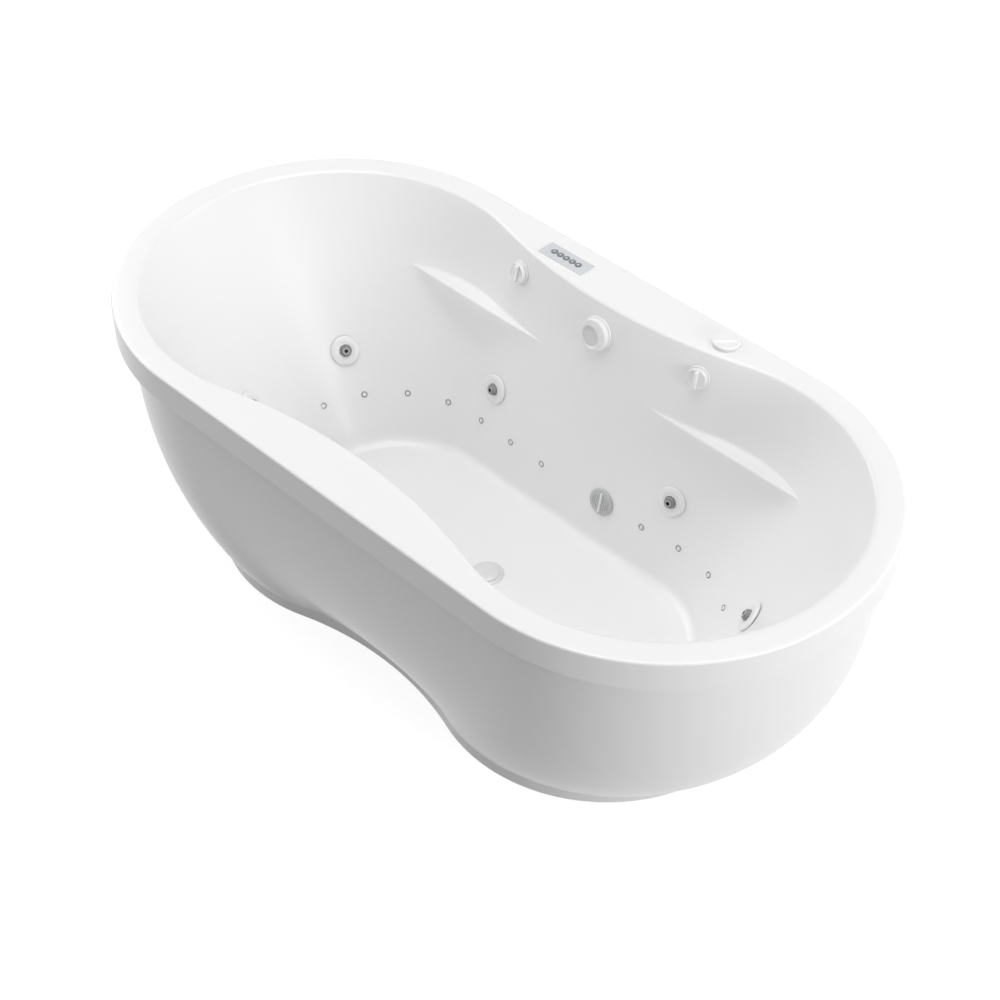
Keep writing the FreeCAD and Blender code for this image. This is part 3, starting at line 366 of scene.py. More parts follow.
def finish(name, colour, roughness, metallic=0.0, coat=0.0, coat_roughness=0.03, grain=800.0, bump=0.02,
           mottle=0.02, speckle=0.0, ior=1.5):
    """Procedural finish: a slight mottle of the colour and of the gloss, with a fine moulded grain."""
    material = bpy.data.materials.new(name)
    material.use_nodes = True
    nodes = material.node_tree.nodes
    links = material.node_tree.links
    shader = nodes["Principled BSDF"]
    shader.inputs["Metallic"].default_value = metallic
    shader.inputs["IOR"].default_value = ior
    shader.inputs["Coat Weight"].default_value = coat
    shader.inputs["Coat Roughness"].default_value = coat_roughness
    place = nodes.new("ShaderNodeTexCoord")
    cloud = nodes.new("ShaderNodeTexNoise")
    cloud.inputs["Scale"].default_value = 6.0
    cloud.inputs["Detail"].default_value = 3.0
    links.new(place.outputs["Object"], cloud.inputs["Vector"])
    shade = nodes.new("ShaderNodeValToRGB")
    shade.color_ramp.elements[0].position = 0.35
    shade.color_ramp.elements[0].color = [part * (1 - mottle) for part in colour[:3]] + [1]
    shade.color_ramp.elements[1].position = 0.65
    shade.color_ramp.elements[1].color = list(colour[:3]) + [1]
    links.new(cloud.outputs["Fac"], shade.inputs["Fac"])
    links.new(shade.outputs["Color"], shader.inputs["Base Color"])
    gloss = nodes.new("ShaderNodeMapRange")
    gloss.inputs["To Min"].default_value = roughness * 0.9
    gloss.inputs["To Max"].default_value = roughness * 1.1
    links.new(cloud.outputs["Fac"], gloss.inputs["Value"])
    links.new(gloss.outputs["Result"], shader.inputs["Roughness"])
    fine = nodes.new("ShaderNodeTexNoise")
    fine.inputs["Scale"].default_value = grain
    fine.inputs["Detail"].default_value = 2.0
    links.new(place.outputs["Object"], fine.inputs["Vector"])
    relief = nodes.new("ShaderNodeBump")
    relief.inputs["Strength"].default_value = bump
    relief.inputs["Distance"].default_value = 0.0002
    links.new(fine.outputs["Fac"], relief.inputs["Height"])
    links.new(relief.outputs["Normal"], shader.inputs["Normal"])
    return material


def acrylic():
    c = bpy.context.scene.bath_finishes
    return bpy.data.materials.get("white_acrylic") or finish(
        "white_acrylic", c.acrylic, 0.3, coat=0.2, coat_roughness=0.1, grain=60.0, bump=0.03, mottle=0.006)


def moulded_white():
    c = bpy.context.scene.bath_finishes
    return bpy.data.materials.get("moulded_white") or finish(
        "moulded_white", c.fittings, 0.28, coat=0.3, coat_roughness=0.08, grain=500.0, bump=0.04, mottle=0.012)


def painted_shade_white():
    # Painted shade: the fittings' white darkened to 0.86, laid on sockets, hollows and a knob's side in place of their
    # shade.
    c = bpy.context.scene.bath_finishes
    shade = [part * 0.86 for part in c.fittings[:3]] + [1]
    return bpy.data.materials.get("white_painted_shade") or finish(
        "white_painted_shade", shade, 0.4, grain=500.0, bump=0.05, mottle=0.012)


def chrome():
    return bpy.data.materials.get("bright_chrome") or finish(
        "bright_chrome", (0.32, 0.325, 0.33, 1), 0.2, metallic=1.0, grain=900.0, bump=0.01, mottle=0.03)


# ---- operators -----------------------------------------------------------------------------------

class BATH_OT_shell(bpy.types.Operator):
    """Acrylic shell: rim, rolled mouth, waisted basin with armrest ledges, and its underside"""

    bl_idname = "bath.shell"
    bl_label = "Shell"

    def execute(self, context):
        s = context.scene.bath_shell
        rim = Oval(s.rim_length, s.rim_width, s.rim_width)
        low = s.height - s.rim_drop
        deck = s.height - s.wall
        rings = [rim.grown(-s.wall).ring(low + 1.5 * MM), rim.grown(-s.wall + 1.5 * MM).ring(low),
                 rim.grown(-1.5 * MM).ring(low), rim.ring(low + 1.5 * MM)]
        rings += [rim.ring(low + (s.rim_drop - s.rim_edge) * k / 4) for k in range(1, 4)]
        rings += arc_rings(lambda z: rim, s.height, s.rim_edge, False)
        mouth = Oval(s.mouth_length, s.mouth_width, s.mouth_waist)
        inner = rim.grown(-s.rim_edge)
        outer = mouth.grown(s.mouth_edge)
        rings += [inner.towards(outer, k / 4).ring(s.height) for k in range(1, 4)]
        rings += arc_rings(basin, s.height, s.mouth_edge, True)
        rings += self.wall_rings(s, 0.0)
        rings += self.floor_rings(s, s.floor_level, 0.0, s.floor_corner, False)
        rings += self.floor_rings(s, s.floor_level - s.wall, s.wall + MM, s.floor_corner + s.wall, True)
        rings += self.wall_rings(s, s.wall + MM)[::-1]
        rings += [basin(deck - 4 * MM).grown(s.wall + MM).ring(deck - 4 * MM),
                  basin(deck).grown(s.wall + 4 * MM).ring(deck)]
        rings += [outer.grown(s.wall).towards(rim.grown(-2 * s.wall), k / 3).ring(deck) for k in (1, 2, 3)]
        rings += [rim.grown(-s.wall).ring(deck - s.wall), rim.grown(-s.wall).ring((deck + low) / 2)]
        finished(closed_skin(rings), "tub_surface", "tub", [acrylic()], ["tub_shell"])
        return {"FINISHED"}

    def wall_rings(self, s, offset):
        """Rings down the basin wall, with the armrest ledges stepped in."""
        shelf = s.armrest_level - (s.wall if offset else 0)
        gap = s.armrest_half_gap + offset
        top = s.height - s.mouth_edge if not offset else s.height - s.wall - 8 * MM
        corner = s.floor_corner + (s.wall if offset else 0)
        base = s.floor_level - (s.wall if offset else 0) + corner
        edge = s.armrest_edge
        rings = []
        for k in range(1, 7):
            z = top + (shelf + edge - top) * k / 6
            rings.append(basin(z).grown(offset).ring(z))
        for turn in (0.3, 0.55, 0.8, 1.0):
            rings.append(self.ledge(s, offset, shelf, gap, edge, turn * math.pi / 2, False))
        for turn in (0.0, 0.3, 0.6, 1.0):
            rings.append(self.ledge(s, offset, shelf, gap, edge, turn * math.pi / 2, True))
        for k in range(1, WALL_ROWS + 1):
            z = shelf - edge + (base - shelf + edge) * k / WALL_ROWS
            rings.append([held(point, gap) for point in basin(z).grown(offset).ring(z)])
        return rings

    def ledge(self, s, offset, shelf, gap, edge, turn, front):
        """Ring through the armrest's inner corner, or through its front edge."""
        points = []
        fall = edge * (1 - math.sin(turn)) if not front else -edge * (1 - math.cos(turn))
        for point in basin(shelf + fall).grown(offset).ring(shelf + fall):
            depth = max(0.0, abs(point.y) - gap)
            share = min(1.0, depth / (3 * edge))
            if front:
                reach = min(abs(point.y), gap + share * edge * (1 - math.sin(turn)))
            else:
                reach = abs(point.y) - share * edge * (1 - math.cos(turn))
            points.append(Vector((point.x, math.copysign(reach, point.y), point.z)))
        return points

    def floor_rings(self, s, level, offset, corner, outwards):
        """Rings round the bottom corner and across the floor to the drain hole."""
        rings = []
        for k in range(1, CORNER_STEPS + 1):
            turn = math.pi / 2 * k / CORNER_STEPS
            z = level + corner * (1 - math.sin(turn))
            spread = offset - corner * (1 - math.cos(turn))
            rings.append([held(point, s.armrest_half_gap + offset) for point in basin(z).grown(spread).ring(z)])
        edge = rings[-1]
        hole = [Vector((point.x, point.y, 0)).normalized() * s.drain_hole for point in edge]
        for k in range(1, 9):
            share = k / 8
            rings.append([point.lerp(Vector((inner.x, inner.y, level)), share)
                          for point, inner in zip(edge, hole)])
        return rings[::-1] if outwards else rings


def held(point, reach):
    """The same point with its Y kept within reach of the middle."""
    return Vector((point.x, max(-reach, min(reach, point.y)), point.z))


def arc_rings(find, top, radius, inwards):
    """Rings round an edge: up and over an outer edge, or over and down into the basin."""
    rings = []
    for k in range(EDGE_STEPS + 1):
        turn = math.pi / 2 * k / EDGE_STEPS
        z = top - radius * (1 - math.sin(turn))
        spread = radius * (1 - math.cos(turn))
        rings.append(find(z).grown(spread if inwards else -spread).ring(z))
    return rings[::-1] if inwards else rings


class BATH_OT_skirt(bpy.types.Operator):
    """One-piece skirt that flares from its foot up to the rim, and the plinth ring below it"""

    bl_idname = "bath.skirt"
    bl_label = "Skirt and plinth"

    def execute(self, context):
        s = context.scene.bath_skirt
        top = Oval(s.top_length, s.top_width, s.top_waist)
        foot = Oval(s.foot_length, s.foot_width, s.foot_waist)

        def skin(level, offset):
            share = (1 - (1 - level) ** s.rise_power) ** (1 / s.round_power)
            z = s.foot_level + level * (s.top_level - s.foot_level)
            return foot.towards(top, share).grown(offset).ring(z)

        levels = [0, 0.004, 0.012, 0.025, 0.045] + [0.07 + 0.93 * k / FLARE_ROWS for k in range(FLARE_ROWS + 1)]
        rings = [skin(level, 0) for level in levels] + [skin(level, -s.wall) for level in reversed(levels)]
        finished(closed_skin(rings), "skirt_surface", "tub", [acrylic()], ["skirt"])
        ring = foot.grown(-s.reveal)
        edge = 1.5 * MM
        low, high = 0.0, s.foot_level
        rings = [ring.grown(-edge).ring(low), ring.ring(low + edge), ring.ring(high - edge),
                 ring.grown(-edge).ring(high), ring.grown(-s.plinth_wall).ring(high),
                 ring.grown(-s.plinth_wall).ring(low)]
        finished(closed_skin(rings), "plinth_ring", "tub", [acrylic()], ["plinth"])
        return {"FINISHED"}


class BATH_OT_jets(bpy.types.Operator):
    """Eight water jets: a white face with a raised ring, and a grey eyeball nozzle in each"""

    bl_idname = "bath.jets"
    bl_label = "Water jets"

    def execute(self, context):
        f = context.scene.bath_fittings
        colours = context.scene.bath_finishes
        dark = finish("nozzle_grey", colours.nozzle, 0.3, coat=0.2, grain=900.0, bump=0.03, mottle=0.08)
        # Painted shade: the bore is near black in place of the darkness inside the nozzle's hole.
        painted_bore_shade = finish("nozzle_bore_painted_shade", (0.05, 0.05, 0.055, 1), 0.5, grain=900.0, bump=0.03, mottle=0.1)
        bright = finish("nozzle_ring", (0.52, 0.53, 0.54, 1), 0.3, coat=0.2, grain=900.0, bump=0.03, mottle=0.05)
        faces = []
        for index, place in enumerate(jet_places()):
            faces.append(place @ Matrix.Translation((0, 0, self.seat(f, index))))
        bm = bmesh.new()
        for place in faces:
            self.face(bm, f, place)
        finished(bm, "jet_faces", "tub", [moulded_white(), painted_shade_white()], ["jet_fittings"])
        for index, place in enumerate(faces, 1):
            bm = bmesh.new()
            self.nozzle(bm, f)
            body = f"jet_nozzle_{index}"
            finished(bm, f"nozzle_{index}", body, [dark, painted_bore_shade, bright], [body], place)
        return {"FINISHED"}

    def seat(self, f, index):
        """Gap behind a jet's face, which is wider where the end wall is hollow."""
        end = basin(f.jet_level)
        facet = end.r * (1 - math.cos(math.pi / 4 / CAD_END_FACETS))
        return 0.3 * MM + facet + (f.jet_radius ** 2 / (2 * end.r) if index < 4 else 0)

    def face(self, bm, f, place):
        part = bmesh.new()
        r, t = f.jet_radius / MM, f.jet_face / MM
        profile = [(0, -8.8), (JET_SOCKET, -8.8), (JET_SOCKET, t - 0.6), (14.0, t), (15.2, t), (15.8, t - 0.5),
                   (16.4, t - 1.1), (17.2, t - 1.1), (18.0, t - 0.6), (24, t - 1.0), (r - 2.2, t - 1.9),
                   (r - 0.6, t - 3.0), (r, 1.0), (r, 0), (22, 0), (22, -42), (0, -42)]
        lathed(part, profile, 72)
        # Painted shade: the socket's inner wall and floor take the darkened white in place of the socket's shade.
        painted(part, 1, lambda p: math.hypot(p.x, p.y) < (JET_SOCKET + 0.1) * MM and -0.01 < p.z < 0.0052)
        add_part(bm, part, place)

    def nozzle(self, bm, f):
        r = f.nozzle_radius / MM
        centre = (f.jet_face - f.nozzle_rise) / MM
        profile = [(0, centre - r + 0.2)]
        for degrees in range(-75, 31, 15):
            turn = math.radians(degrees)
            profile.append((r * math.cos(turn), centre + r * math.sin(turn)))
        profile += [(10.6, centre + 7.2), (10.3, centre + 8.4), (9.3, centre + 8.8), (9.0, centre + 7.6),
                    (8.2, centre + 7.6), (8.0, centre + 9.6), (7.0, centre + 10.2), (6.6, centre + 9.4),
                    (5.6, centre + 9.4), (5.3, centre + 10.4), (4.6, centre + 10.6), (4.2, centre + 10.0),
                    (4.2, centre + 3), (0, centre + 3)]
        lathed(bm, profile, 56)
        high = (centre + 9.0) * MM
        # Painted shade: the bore's wall and floor take the near-black finish.
        painted(bm, 1, lambda p: math.hypot(p.x, p.y) < 0.0043 and p.z > (centre - 2) * MM)
        painted(bm, 2, lambda p: p.z > high and math.hypot(p.x, p.y) > 0.0045)


class BATH_OT_injectors(bpy.types.Operator):
    """Twenty-four air injectors: a chrome ring round a domed cap, on the stub behind the wall"""

    bl_idname = "bath.injectors"
    bl_label = "Air injectors"

    def execute(self, context):
        f = context.scene.bath_fittings
        r = f.injector_radius / MM
        bm = bmesh.new()
        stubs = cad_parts["air_injectors"]
        points = [stubs.matrix_world @ vert.co for vert in stubs.data.vertices]
        for place in injector_places():
            back = place.inverted()
            near = [spot.z / MM for spot in map(back.__matmul__, points) if math.hypot(spot.x, spot.y) < 8 * MM]
            end = min(near, default=-25)
            profile = [(0, end), (r - 0.4, end), (r - 0.2, 0), (r, 0.2), (r, 0.9), (r - 0.4, 1.5), (r - 1.5, 1.6),
                       (r - 2.1, 1.0), (r - 2.3, 0.5), (r - 2.8, 0.8), (r - 4.0, 1.3), (0, 1.5)]
            part = bmesh.new()
            lathed(part, profile, 28)
            painted(part, 1, lambda p: math.hypot(p.x, p.y) < (r - 2.3) * MM or p.z < 0)
            add_part(bm, part, place)
        finished(bm, "injector_caps", "tub", [chrome(), moulded_white()], ["air_injectors"])
        return {"FINISHED"}


class BATH_OT_suction(bpy.types.Operator):
    """Suction cover: a domed disc with rows of slots drawn as darker strips of painted shade, and a bar across them"""

    bl_idname = "bath.suction"
    bl_label = "Suction cover"

    def execute(self, context):
        f = context.scene.bath_fittings
        colours = context.scene.bath_finishes
        grey = finish("cover_grey", colours.cover, 0.35, coat=0.2, grain=500.0, bump=0.05, mottle=0.03)
        # Painted shade: a darker grey for the slots, in place of the shade inside them.
        dark = finish("cover_slot_painted_shade", (0.36, 0.365, 0.37, 1), 0.6, grain=500.0, bump=0.05, mottle=0.05)
        light = moulded_white()
        place = wall_place(lambda oval: oval.side_at(f.suction_place), f.suction_level)
        bm = bmesh.new()
        r = f.suction_radius / MM
        lathed(bm, rounded([(0, 0.3), (r, 0.3), (r, 3.5), (r - 4, 5.4), (12, 6.0), (0, 6.0)], 2.0), 72)
        # Painted shade: the slots are thin darker strips laid on the face in place of the shade inside real slots.
        for side in SIDES:
            for row in range(4):
                x = (5.4 + row * 5.0) * side * MM
                reach = (19 - 3.2 * row) * MM
                slab(bm, (x - 1.0 * MM, x + 1.0 * MM), (-reach, reach), (5.2 * MM, 6.12 * MM), 0.4 * MM, 2, 1)
        slab(bm, (-2.5 * MM, 2.5 * MM), (-24 * MM, 24 * MM), (5.0 * MM, 8.8 * MM), 1.6 * MM, 4, 2)
        finished(bm, "suction_face", "tub", [grey, dark, light], ["suction_cover"], place)
        return {"FINISHED"}


class BATH_OT_drain(bpy.types.Operator):
    """Drain flange in the floor, and the stopper that lifts out of it"""

    bl_idname = "bath.drain"
    bl_label = "Drain"

    def execute(self, context):
        f = context.scene.bath_fittings
        s = context.scene.bath_shell
        steel = bpy.data.materials.get("drain_bright") or finish(
            "drain_bright", (0.74, 0.74, 0.74, 1), 0.35, metallic=0.1, grain=900.0, bump=0.02, mottle=0.03)
        r = f.drain_radius / MM
        level = s.floor_level / MM
        bm = bmesh.new()
        ring = [(19, level - 5.8), (19, level + 2.0), (19.6, level + 2.5), (r - 3, level + 2.3), (r - 0.8, level + 1.4),
                (r, level + 0.3), (r, level), (23, level), (23, level - 5.8), (19, level - 5.8)]
        lathed(bm, ring, 72)
        finished(bm, "drain_ring", "tub", [steel], ["drain_flange"])
        bm = bmesh.new()
        cap = f.stopper_radius / MM
        under = level + 2.8
        lathed(bm, [(0, 18.3), (3.6, 18.3), (4, 18.8), (4, under), (cap - 1, under), (cap, under + 0.5),
                    (cap, under + 1.2), (cap - 1.2, under + 2.4), (cap - 5, under + 3.4), (cap - 12, under + 3.9),
                    (9, under + 4.0), (8.6, under + 3.6), (8.0, under + 3.6), (7.6, under + 4.0),
                    (0, under + 4.0)], 72)
        finished(bm, "stopper", "drain_stopper", [steel], ["drain_stopper"])
        return {"FINISHED"}


class BATH_OT_overflow(bpy.types.Operator):
    """Overflow plate and the round knob over it, with its finger hollow"""

    bl_idname = "bath.overflow"
    bl_label = "Overflow"

    def execute(self, context):
        f = context.scene.bath_fittings
        place = wall_place(lambda oval: oval.side_at(0.0), f.overflow_level)
        bm = bmesh.new()
        r = f.overflow_radius / MM
        lathed(bm, rounded([(5.3, 0.3), (r, 0.3), (r, 2.0), (r - 1.4, 4.0), (5.3, 4.0), (5.3, 0.3)], 1.2), 80)
        finished(bm, "overflow_ring", "tub", [moulded_white()], ["overflow_plate"], place)
        bm = bmesh.new()
        k = f.overflow_knob / MM
        front = [(k - 0.4, 16.2), (k - 1.4, 17.0)] + [(k - 2 - step * (k - 2) / 14, 17.3) for step in range(14)]
        lathed(bm, [(0, -14), (5, -14), (5, 4.3), (k - 1.5, 4.3), (k, 5.6), (k, 14.5)] + front + [(0, 17.3)], 80)
        self.hollow(bm, (-8, -8), 24.5, 5.5)
        finished(bm, "overflow_turn", "overflow_knob", [moulded_white(), painted_shade_white()],
                 ["overflow_knob"], place)
        return {"FINISHED"}

    def hollow(self, bm, middle, reach, depth):
        """Presses a round hollow into the front face and gives it painted shade."""
        for vert in bm.verts:
            x, y, z = (part / MM for part in vert.co)
            if z < 17:
                continue
            distance = math.hypot(x - middle[0], y - middle[1])
            share = max(0.0, min(1.0, (reach - distance) / 3.0))
            vert.co.z -= depth * MM * share * share * (3 - 2 * share)
        # Painted shade: the hollow's faces take the darkened white in place of the hollow's shade.
        painted(bm, 1, lambda p: 0.0108 < p.z < 0.0150 and
                math.hypot(p.x / MM - middle[0], p.y / MM - middle[1]) < reach)


class BATH_OT_wall_controls(bpy.types.Operator):
    """Two air controls on the wall: a collar, and a round knob with a grip bar"""

    bl_idname = "bath.wall_controls"
    bl_label = "Wall controls"

    def execute(self, context):
        f = context.scene.bath_fittings
        places = [wall_place(lambda oval: oval.side_at(f.knob_place), f.knob_level, flip, 1) for flip in (-1, 1)]
        bm = bmesh.new()
        for place in places:
            part = bmesh.new()
            c = f.collar_radius / MM
            lathed(part, rounded([(5.1, 0.3), (c, 0.3), (c, 1.6), (c - 1.2, 3.0), (5.1, 3.0), (5.1, 0.3)], 1.0), 64)
            add_part(bm, part, place)
        finished(bm, "control_collars", "tub", [moulded_white()], ["air_control_valves"])
        for name, place in zip(("left", "right"), places):
            bm = bmesh.new()
            r = f.knob_radius / MM
            lathed(bm, [(0, -14), (5, -14), (5, 3.3), (r - 1, 3.3), (r, 4.3), (r, 10.4), (r - 0.7, 11.8),
                        (r - 2.4, 12.3), (r - 3.2, 11.6), (r - 4.4, 11.2), (0, 11.0)], 64)
            slab(bm, (-4.5 * MM, 4.5 * MM), (-(r - 2.6) * MM, (r - 2.6) * MM), (10.5 * MM, 19.2 * MM), 3.2 * MM, 5)
            body = f"air_knob_{name}"
            finished(bm, f"{name}_air_control", body, [moulded_white()], [body], place)
        return {"FINISHED"}


class BATH_OT_deck_control(bpy.types.Operator):
    """Round air control on the deck, with a shallow finger hollow and painted shade on its side"""

    bl_idname = "bath.deck_control"
    bl_label = "Deck control"

    def execute(self, context):
        f = context.scene.bath_fittings
        s = context.scene.bath_shell
        place = Matrix.Translation((f.deck_knob_x, f.deck_knob_y, s.height))
        bm = bmesh.new()
        r = f.deck_knob_radius / MM
        face = [(r - 3 - k * (r - 3) / 12, 9.3) for k in range(12)]
        lathed(bm, [(0, -27), (5, -27), (5, 0.3), (r - 0.8, 0.3), (r, 1.2), (r, 6.4), (r - 0.8, 8.4), (r - 2.2, 9.2)]
               + face + [(0, 9.3)], 80)
        for vert in bm.verts:
            x, y, z = (part / MM for part in vert.co)
            if z > 9.1:
                near = (x - y) / math.sqrt(2)
                share = max(0.0, min(1.0, (near - 1.0) / 5.0)) * max(0.0, min(1.0, (r - 3 - math.hypot(x, y)) / 3.0))
                vert.co.z -= 2.0 * MM * share * share * (3 - 2 * share)
        # Painted shade: the side wall takes the darkened white, a dark crescent of painted shade in place of the side's
        # shade.
        painted(bm, 1, lambda p: 0.0003 < p.z < 0.0070 and math.hypot(p.x, p.y) > (r - 1.0) * MM)
        finished(bm, "deck_air_control", "deck_knob", [moulded_white(), painted_shade_white()],
                 ["deck_knob"], place)
        return {"FINISHED"}


class BATH_OT_keypad(bpy.types.Operator):
    """Keypad on the deck, with five round buttons"""

    bl_idname = "bath.keypad"
    bl_label = "Keypad"

    def execute(self, context):
        f = context.scene.bath_fittings
        s = context.scene.bath_shell
        colours = context.scene.bath_finishes
        silver = finish("keypad_silver", colours.keypad, 0.35, metallic=0.1, grain=1500.0, bump=0.06, mottle=0.03)
        rim = finish("keypad_rings", (0.06, 0.065, 0.07, 1), 0.35, metallic=0.1, grain=900.0, bump=0.02, mottle=0.03)
        dark = finish("button_dark", colours.button, 0.35, coat=0.25, grain=900.0, bump=0.05, mottle=0.08)
        mark = finish("button_mark", (0.66, 0.67, 0.68, 1), 0.4, grain=900.0, bump=0.02, mottle=0.03)
        top = s.height
        half_x, half_y = f.keypad_length / 2, f.keypad_width / 2
        bm = bmesh.new()
        made = bmesh.ops.create_cube(bm, size=1)["verts"]
        bmesh.ops.transform(bm, verts=made, matrix=Matrix.Translation((f.keypad_x, f.keypad_y, top + 0.8 * MM))
                            @ Matrix.Diagonal((f.keypad_length, f.keypad_width, 1.6 * MM, 1)))
        upright = [edge for edge in bm.edges if abs(edge.verts[0].co.z - edge.verts[1].co.z) > 1e-5]
        bmesh.ops.bevel(bm, geom=upright, offset=3 * MM, affect="EDGES", segments=6, profile=0.5, material=-1)
        upper = [edge for edge in bm.edges if all(vert.co.z > top + 1.5 * MM for vert in edge.verts)]
        bmesh.ops.bevel(bm, geom=upper, offset=0.8 * MM, affect="EDGES", segments=3, profile=0.5, material=-1)
        slab(bm, (f.keypad_x - 0.05, f.keypad_x + 0.05), (f.keypad_y - 0.012, f.keypad_y + 0.012),
             (top - 18 * MM, top + 0.3 * MM), 0.5 * MM, 2)
        places = [Matrix.Translation((f.keypad_x + f.button_pitch * (k - 2), f.keypad_y, top)) for k in range(5)]
        b = f.button_radius / MM
        for place in places:
            part = bmesh.new()
            lathed(part, [(b + 0.35, 1.55), (b + 0.35, 1.75), (b + 0.6, 2.0), (b + 1.1, 2.0), (b + 1.4, 1.55),
                          (b + 0.35, 1.55)], 40)
            painted(part, 1, lambda p: True)
            add_part(bm, part, place)
        finished(bm, "keypad_plate", "tub", [silver, rim], ["keypad_bezel"])
        for index, place in enumerate(places, 1):
            bm = bmesh.new()
            lathed(bm, [(0, -7.9), (b, -7.9), (b, 2.0), (b - 0.5, 2.6), (b - 2.0, 2.75), (2.2, 2.7), (2.0, 2.78),
                        (1.2, 2.78), (0, 2.78)], 40)
            painted(bm, 1, lambda p: p.z > 0.0026 and math.hypot(p.x, p.y) < 0.0021)
            body = f"button_{index}"
            finished(bm, f"keypad_{body}", body, [dark, mark], [body], place)
        return {"FINISHED"}


class BATH_OT_frame(bpy.types.Operator):
    """Finishes of the pieces under the shell that keep their own solids"""

    bl_idname = "bath.underframe"
    bl_label = "Underframe and plant"

    def execute(self, context):
        pipe = finish("pipe_white", (0.72, 0.72, 0.70, 1), 0.4, grain=300.0, bump=0.05, mottle=0.03)
        hose = finish("hose_grey", (0.10, 0.10, 0.105, 1), 0.7, grain=400.0, bump=0.15, mottle=0.08)
        paint = finish("bracket_paint", (0.05, 0.055, 0.06, 1), 0.45, grain=600.0, bump=0.1, mottle=0.06)
        motor = finish("motor_enamel", (0.03, 0.035, 0.045, 1), 0.4, coat=0.2, grain=500.0, bump=0.12, mottle=0.08)
        black = finish("black_moulding", (0.02, 0.02, 0.02, 1), 0.45, grain=700.0, bump=0.12, mottle=0.1)
        zinc = finish("zinc_plate", (0.55, 0.56, 0.57, 1), 0.35, metallic=1.0, grain=700.0, bump=0.05, mottle=0.08)
        board = finish("sealed_board", (0.42, 0.30, 0.18, 1), 0.7, grain=90.0, bump=0.4, mottle=0.25)
        timber = finish("planed_timber", (0.55, 0.38, 0.22, 1), 0.6, grain=60.0, bump=0.35, mottle=0.2)
        grey = finish("grey_moulding", (0.22, 0.23, 0.24, 1), 0.45, grain=600.0, bump=0.08, mottle=0.05)
        looks = {pipe: ["water_manifold", "air_manifold", "suction_pipe", "waste_overflow_pipe", "deck_valve"],
                 hose: ["air_hose", "control_lead"], paint: ["pump_cradle", "blower_bracket"], motor: ["pump_motor"],
                 black: ["pump_volute", "blower_housing"], board: ["base_board"],
                 timber: ["base_rails", "cross_members"],
                 grey: ["pump_impeller", "blower_rotor", "jet_locknuts", "control_box", "supply_gland"],
                 zinc: [f"levelling_foot_{k}" for k in range(1, 5)]}
        for look, names in looks.items():
            for name in names:
                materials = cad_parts[name].data.materials
                materials.clear()
                materials.append(look)
        return {"FINISHED"}


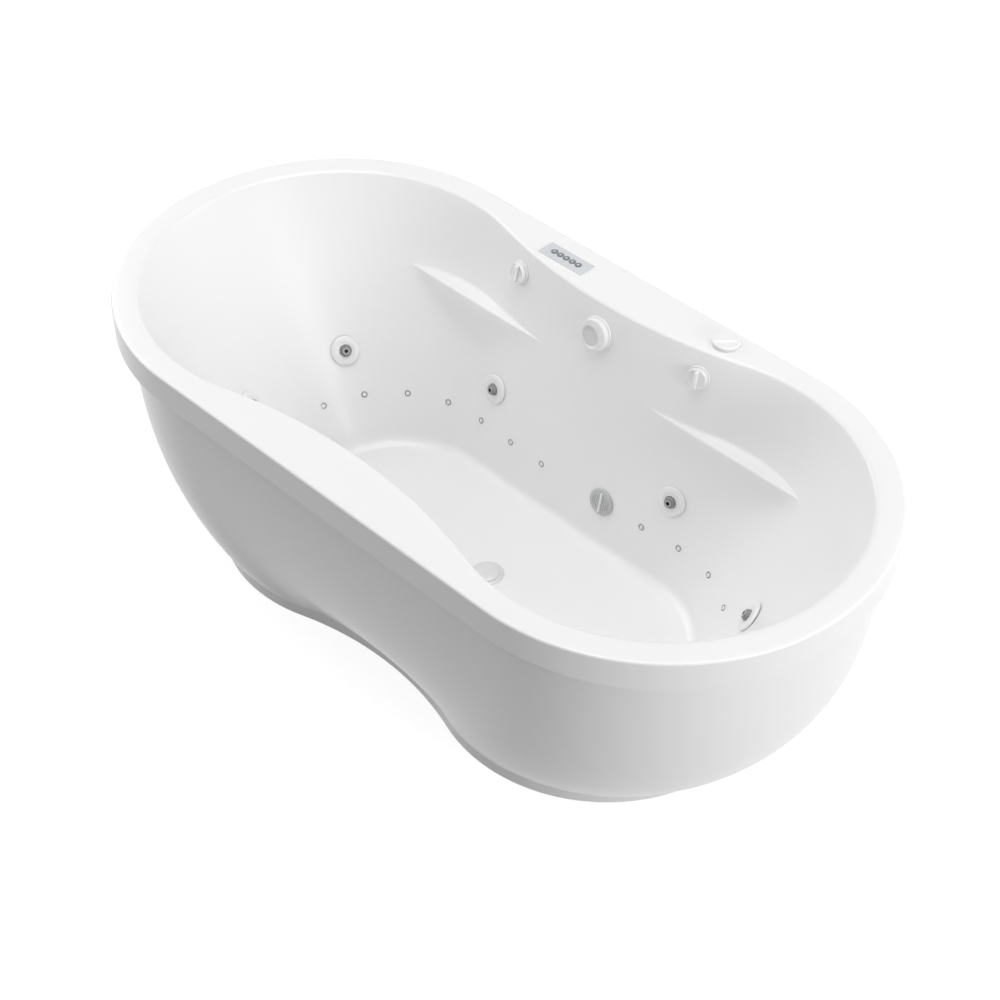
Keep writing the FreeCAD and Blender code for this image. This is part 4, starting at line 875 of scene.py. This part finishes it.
class BATH_OT_stage(bpy.types.Operator):
    """Pale floor, soft studio lamps and the camera"""

    bl_idname = "bath.stage"
    bl_label = "Stage"

    def execute(self, context):
        self.floor(context)
        self.world(context)
        for lamp in LAMPS:
            self.lamp(*lamp)
        self.camera(context)
        context.scene.view_settings.view_transform = "Standard"
        return {"FINISHED"}

    def floor(self, context):
        colours = context.scene.bath_finishes
        bm = bmesh.new()
        bmesh.ops.create_grid(bm, x_segments=4, y_segments=4, size=12)
        mesh = bpy.data.meshes.new("studio_floor")
        bm.to_mesh(mesh)
        bm.free()
        floor = bpy.data.objects.new("studio_floor", mesh)
        context.scene.collection.objects.link(floor)
        material = finish("studio_floor", colours.floor, 0.8, grain=20.0, bump=0.0, mottle=0.01)
        nodes, links = material.node_tree.nodes, material.node_tree.links
        white = nodes.new("ShaderNodeEmission")
        white.inputs["Color"].default_value = (1, 1, 1, 1)
        lift = nodes.new("ShaderNodeMath")
        lift.operation = "MULTIPLY"
        lift.inputs[1].default_value = 0.86
        links.new(self.seen_rays(material.node_tree), lift.inputs[0])
        links.new(lift.outputs["Value"], white.inputs["Strength"])
        both = nodes.new("ShaderNodeAddShader")
        links.new(nodes["Principled BSDF"].outputs["BSDF"], both.inputs[0])
        links.new(white.outputs["Emission"], both.inputs[1])
        links.new(both.outputs["Shader"], nodes["Material Output"].inputs["Surface"])
        mesh.materials.append(material)

    def seen_rays(self, tree):
        """Socket that is 1 for rays that see the backdrop: straight, in a gloss or through glass."""
        rays = tree.nodes.new("ShaderNodeLightPath")
        kinds = [rays.outputs[kind] for kind in ("Is Camera Ray", "Is Glossy Ray", "Is Transmission Ray")]
        total = kinds[0]
        for kind in kinds[1:]:
            either = tree.nodes.new("ShaderNodeMath")
            either.operation = "MAXIMUM"
            tree.links.new(total, either.inputs[0])
            tree.links.new(kind, either.inputs[1])
            total = either.outputs["Value"]
        return total

    def world(self, context):
        world = bpy.data.worlds.new("studio")
        context.scene.world = world
        world.use_nodes = True
        nodes, links = world.node_tree.nodes, world.node_tree.links
        soft = nodes["Background"]
        soft.inputs["Color"].default_value = (1, 1, 1, 1)
        soft.inputs["Strength"].default_value = 0.26
        white = nodes.new("ShaderNodeBackground")
        white.inputs["Color"].default_value = (1, 1, 1, 1)
        white.inputs["Strength"].default_value = 1.0
        mix = nodes.new("ShaderNodeMixShader")
        links.new(self.seen_rays(world.node_tree), mix.inputs["Fac"])
        links.new(soft.outputs["Background"], mix.inputs[1])
        links.new(white.outputs["Background"], mix.inputs[2])
        links.new(mix.outputs["Shader"], nodes["World Output"].inputs["Surface"])

    def lamp(self, name, azimuth, elevation, size, power):
        """Soft round lamp that faces the bath; angles in degrees, size in metres, power in watts."""
        light = bpy.data.lights.new(name, "AREA")
        light.shape = "DISK"
        light.size = size
        light.energy = power
        lamp = bpy.data.objects.new(name, light)
        bpy.context.scene.collection.objects.link(lamp)
        a, e = math.radians(azimuth), math.radians(elevation)
        away = Vector((math.cos(a) * math.cos(e), math.sin(a) * math.cos(e), math.sin(e)))
        lamp.location = LAMP_AIM + away * LAMP_DISTANCE
        lamp.rotation_euler = away.to_track_quat("Z", "Y").to_euler()

    def camera(self, context):
        data = bpy.data.cameras.new("view")
        data.sensor_width = SENSOR_WIDTH
        data.lens = SENSOR_WIDTH * FOCAL_SHARE
        data.clip_end = 50
        camera = bpy.data.objects.new("view", data)
        context.scene.collection.objects.link(camera)
        forward = Vector(CAMERA_AIM).normalized()
        camera.location = CAMERA_PLACE
        camera.rotation_euler = (-forward).to_track_quat("Z", "Y").to_euler()
        context.scene.camera = camera


class BATH_PT_pieces(bpy.types.Panel):
    """Lists the pieces, their sizes and their colours"""

    bl_idname = "BATH_PT_pieces"
    bl_label = "Bathtub"
    bl_space_type = "VIEW_3D"
    bl_region_type = "UI"
    bl_category = "Bathtub"

    def draw(self, context):
        for operator in OPERATORS:
            self.layout.operator(operator.bl_idname)
        for group in SETTINGS:
            box = self.layout.box()
            settings = getattr(context.scene, group)
            for name in settings.bl_rna.properties.keys():
                if name not in ("rna_type", "name"):
                    box.prop(settings, name)


OPERATORS = (BATH_OT_shell, BATH_OT_skirt, BATH_OT_jets, BATH_OT_injectors, BATH_OT_suction, BATH_OT_drain,
             BATH_OT_overflow, BATH_OT_wall_controls, BATH_OT_deck_control, BATH_OT_keypad, BATH_OT_frame,
             BATH_OT_stage)
SETTINGS = {"bath_shell": ShellSizes, "bath_skirt": SkirtSizes, "bath_fittings": FittingSizes,
            "bath_finishes": FinishColours}


def register():
    for name, group in SETTINGS.items():
        bpy.utils.register_class(group)
        setattr(bpy.types.Scene, name, bpy.props.PointerProperty(type=group))
    for piece in OPERATORS + (BATH_PT_pieces,):
        bpy.utils.register_class(piece)


def unregister():
    for piece in reversed(OPERATORS + (BATH_PT_pieces,)):
        bpy.utils.unregister_class(piece)
    for name, group in SETTINGS.items():
        delattr(bpy.types.Scene, name)
        bpy.utils.unregister_class(group)


def main():
    register()
    for piece in OPERATORS:
        family, call = piece.bl_idname.split(".")
        getattr(getattr(bpy.ops, family), call)()


if __name__ == "__main__":
    main()
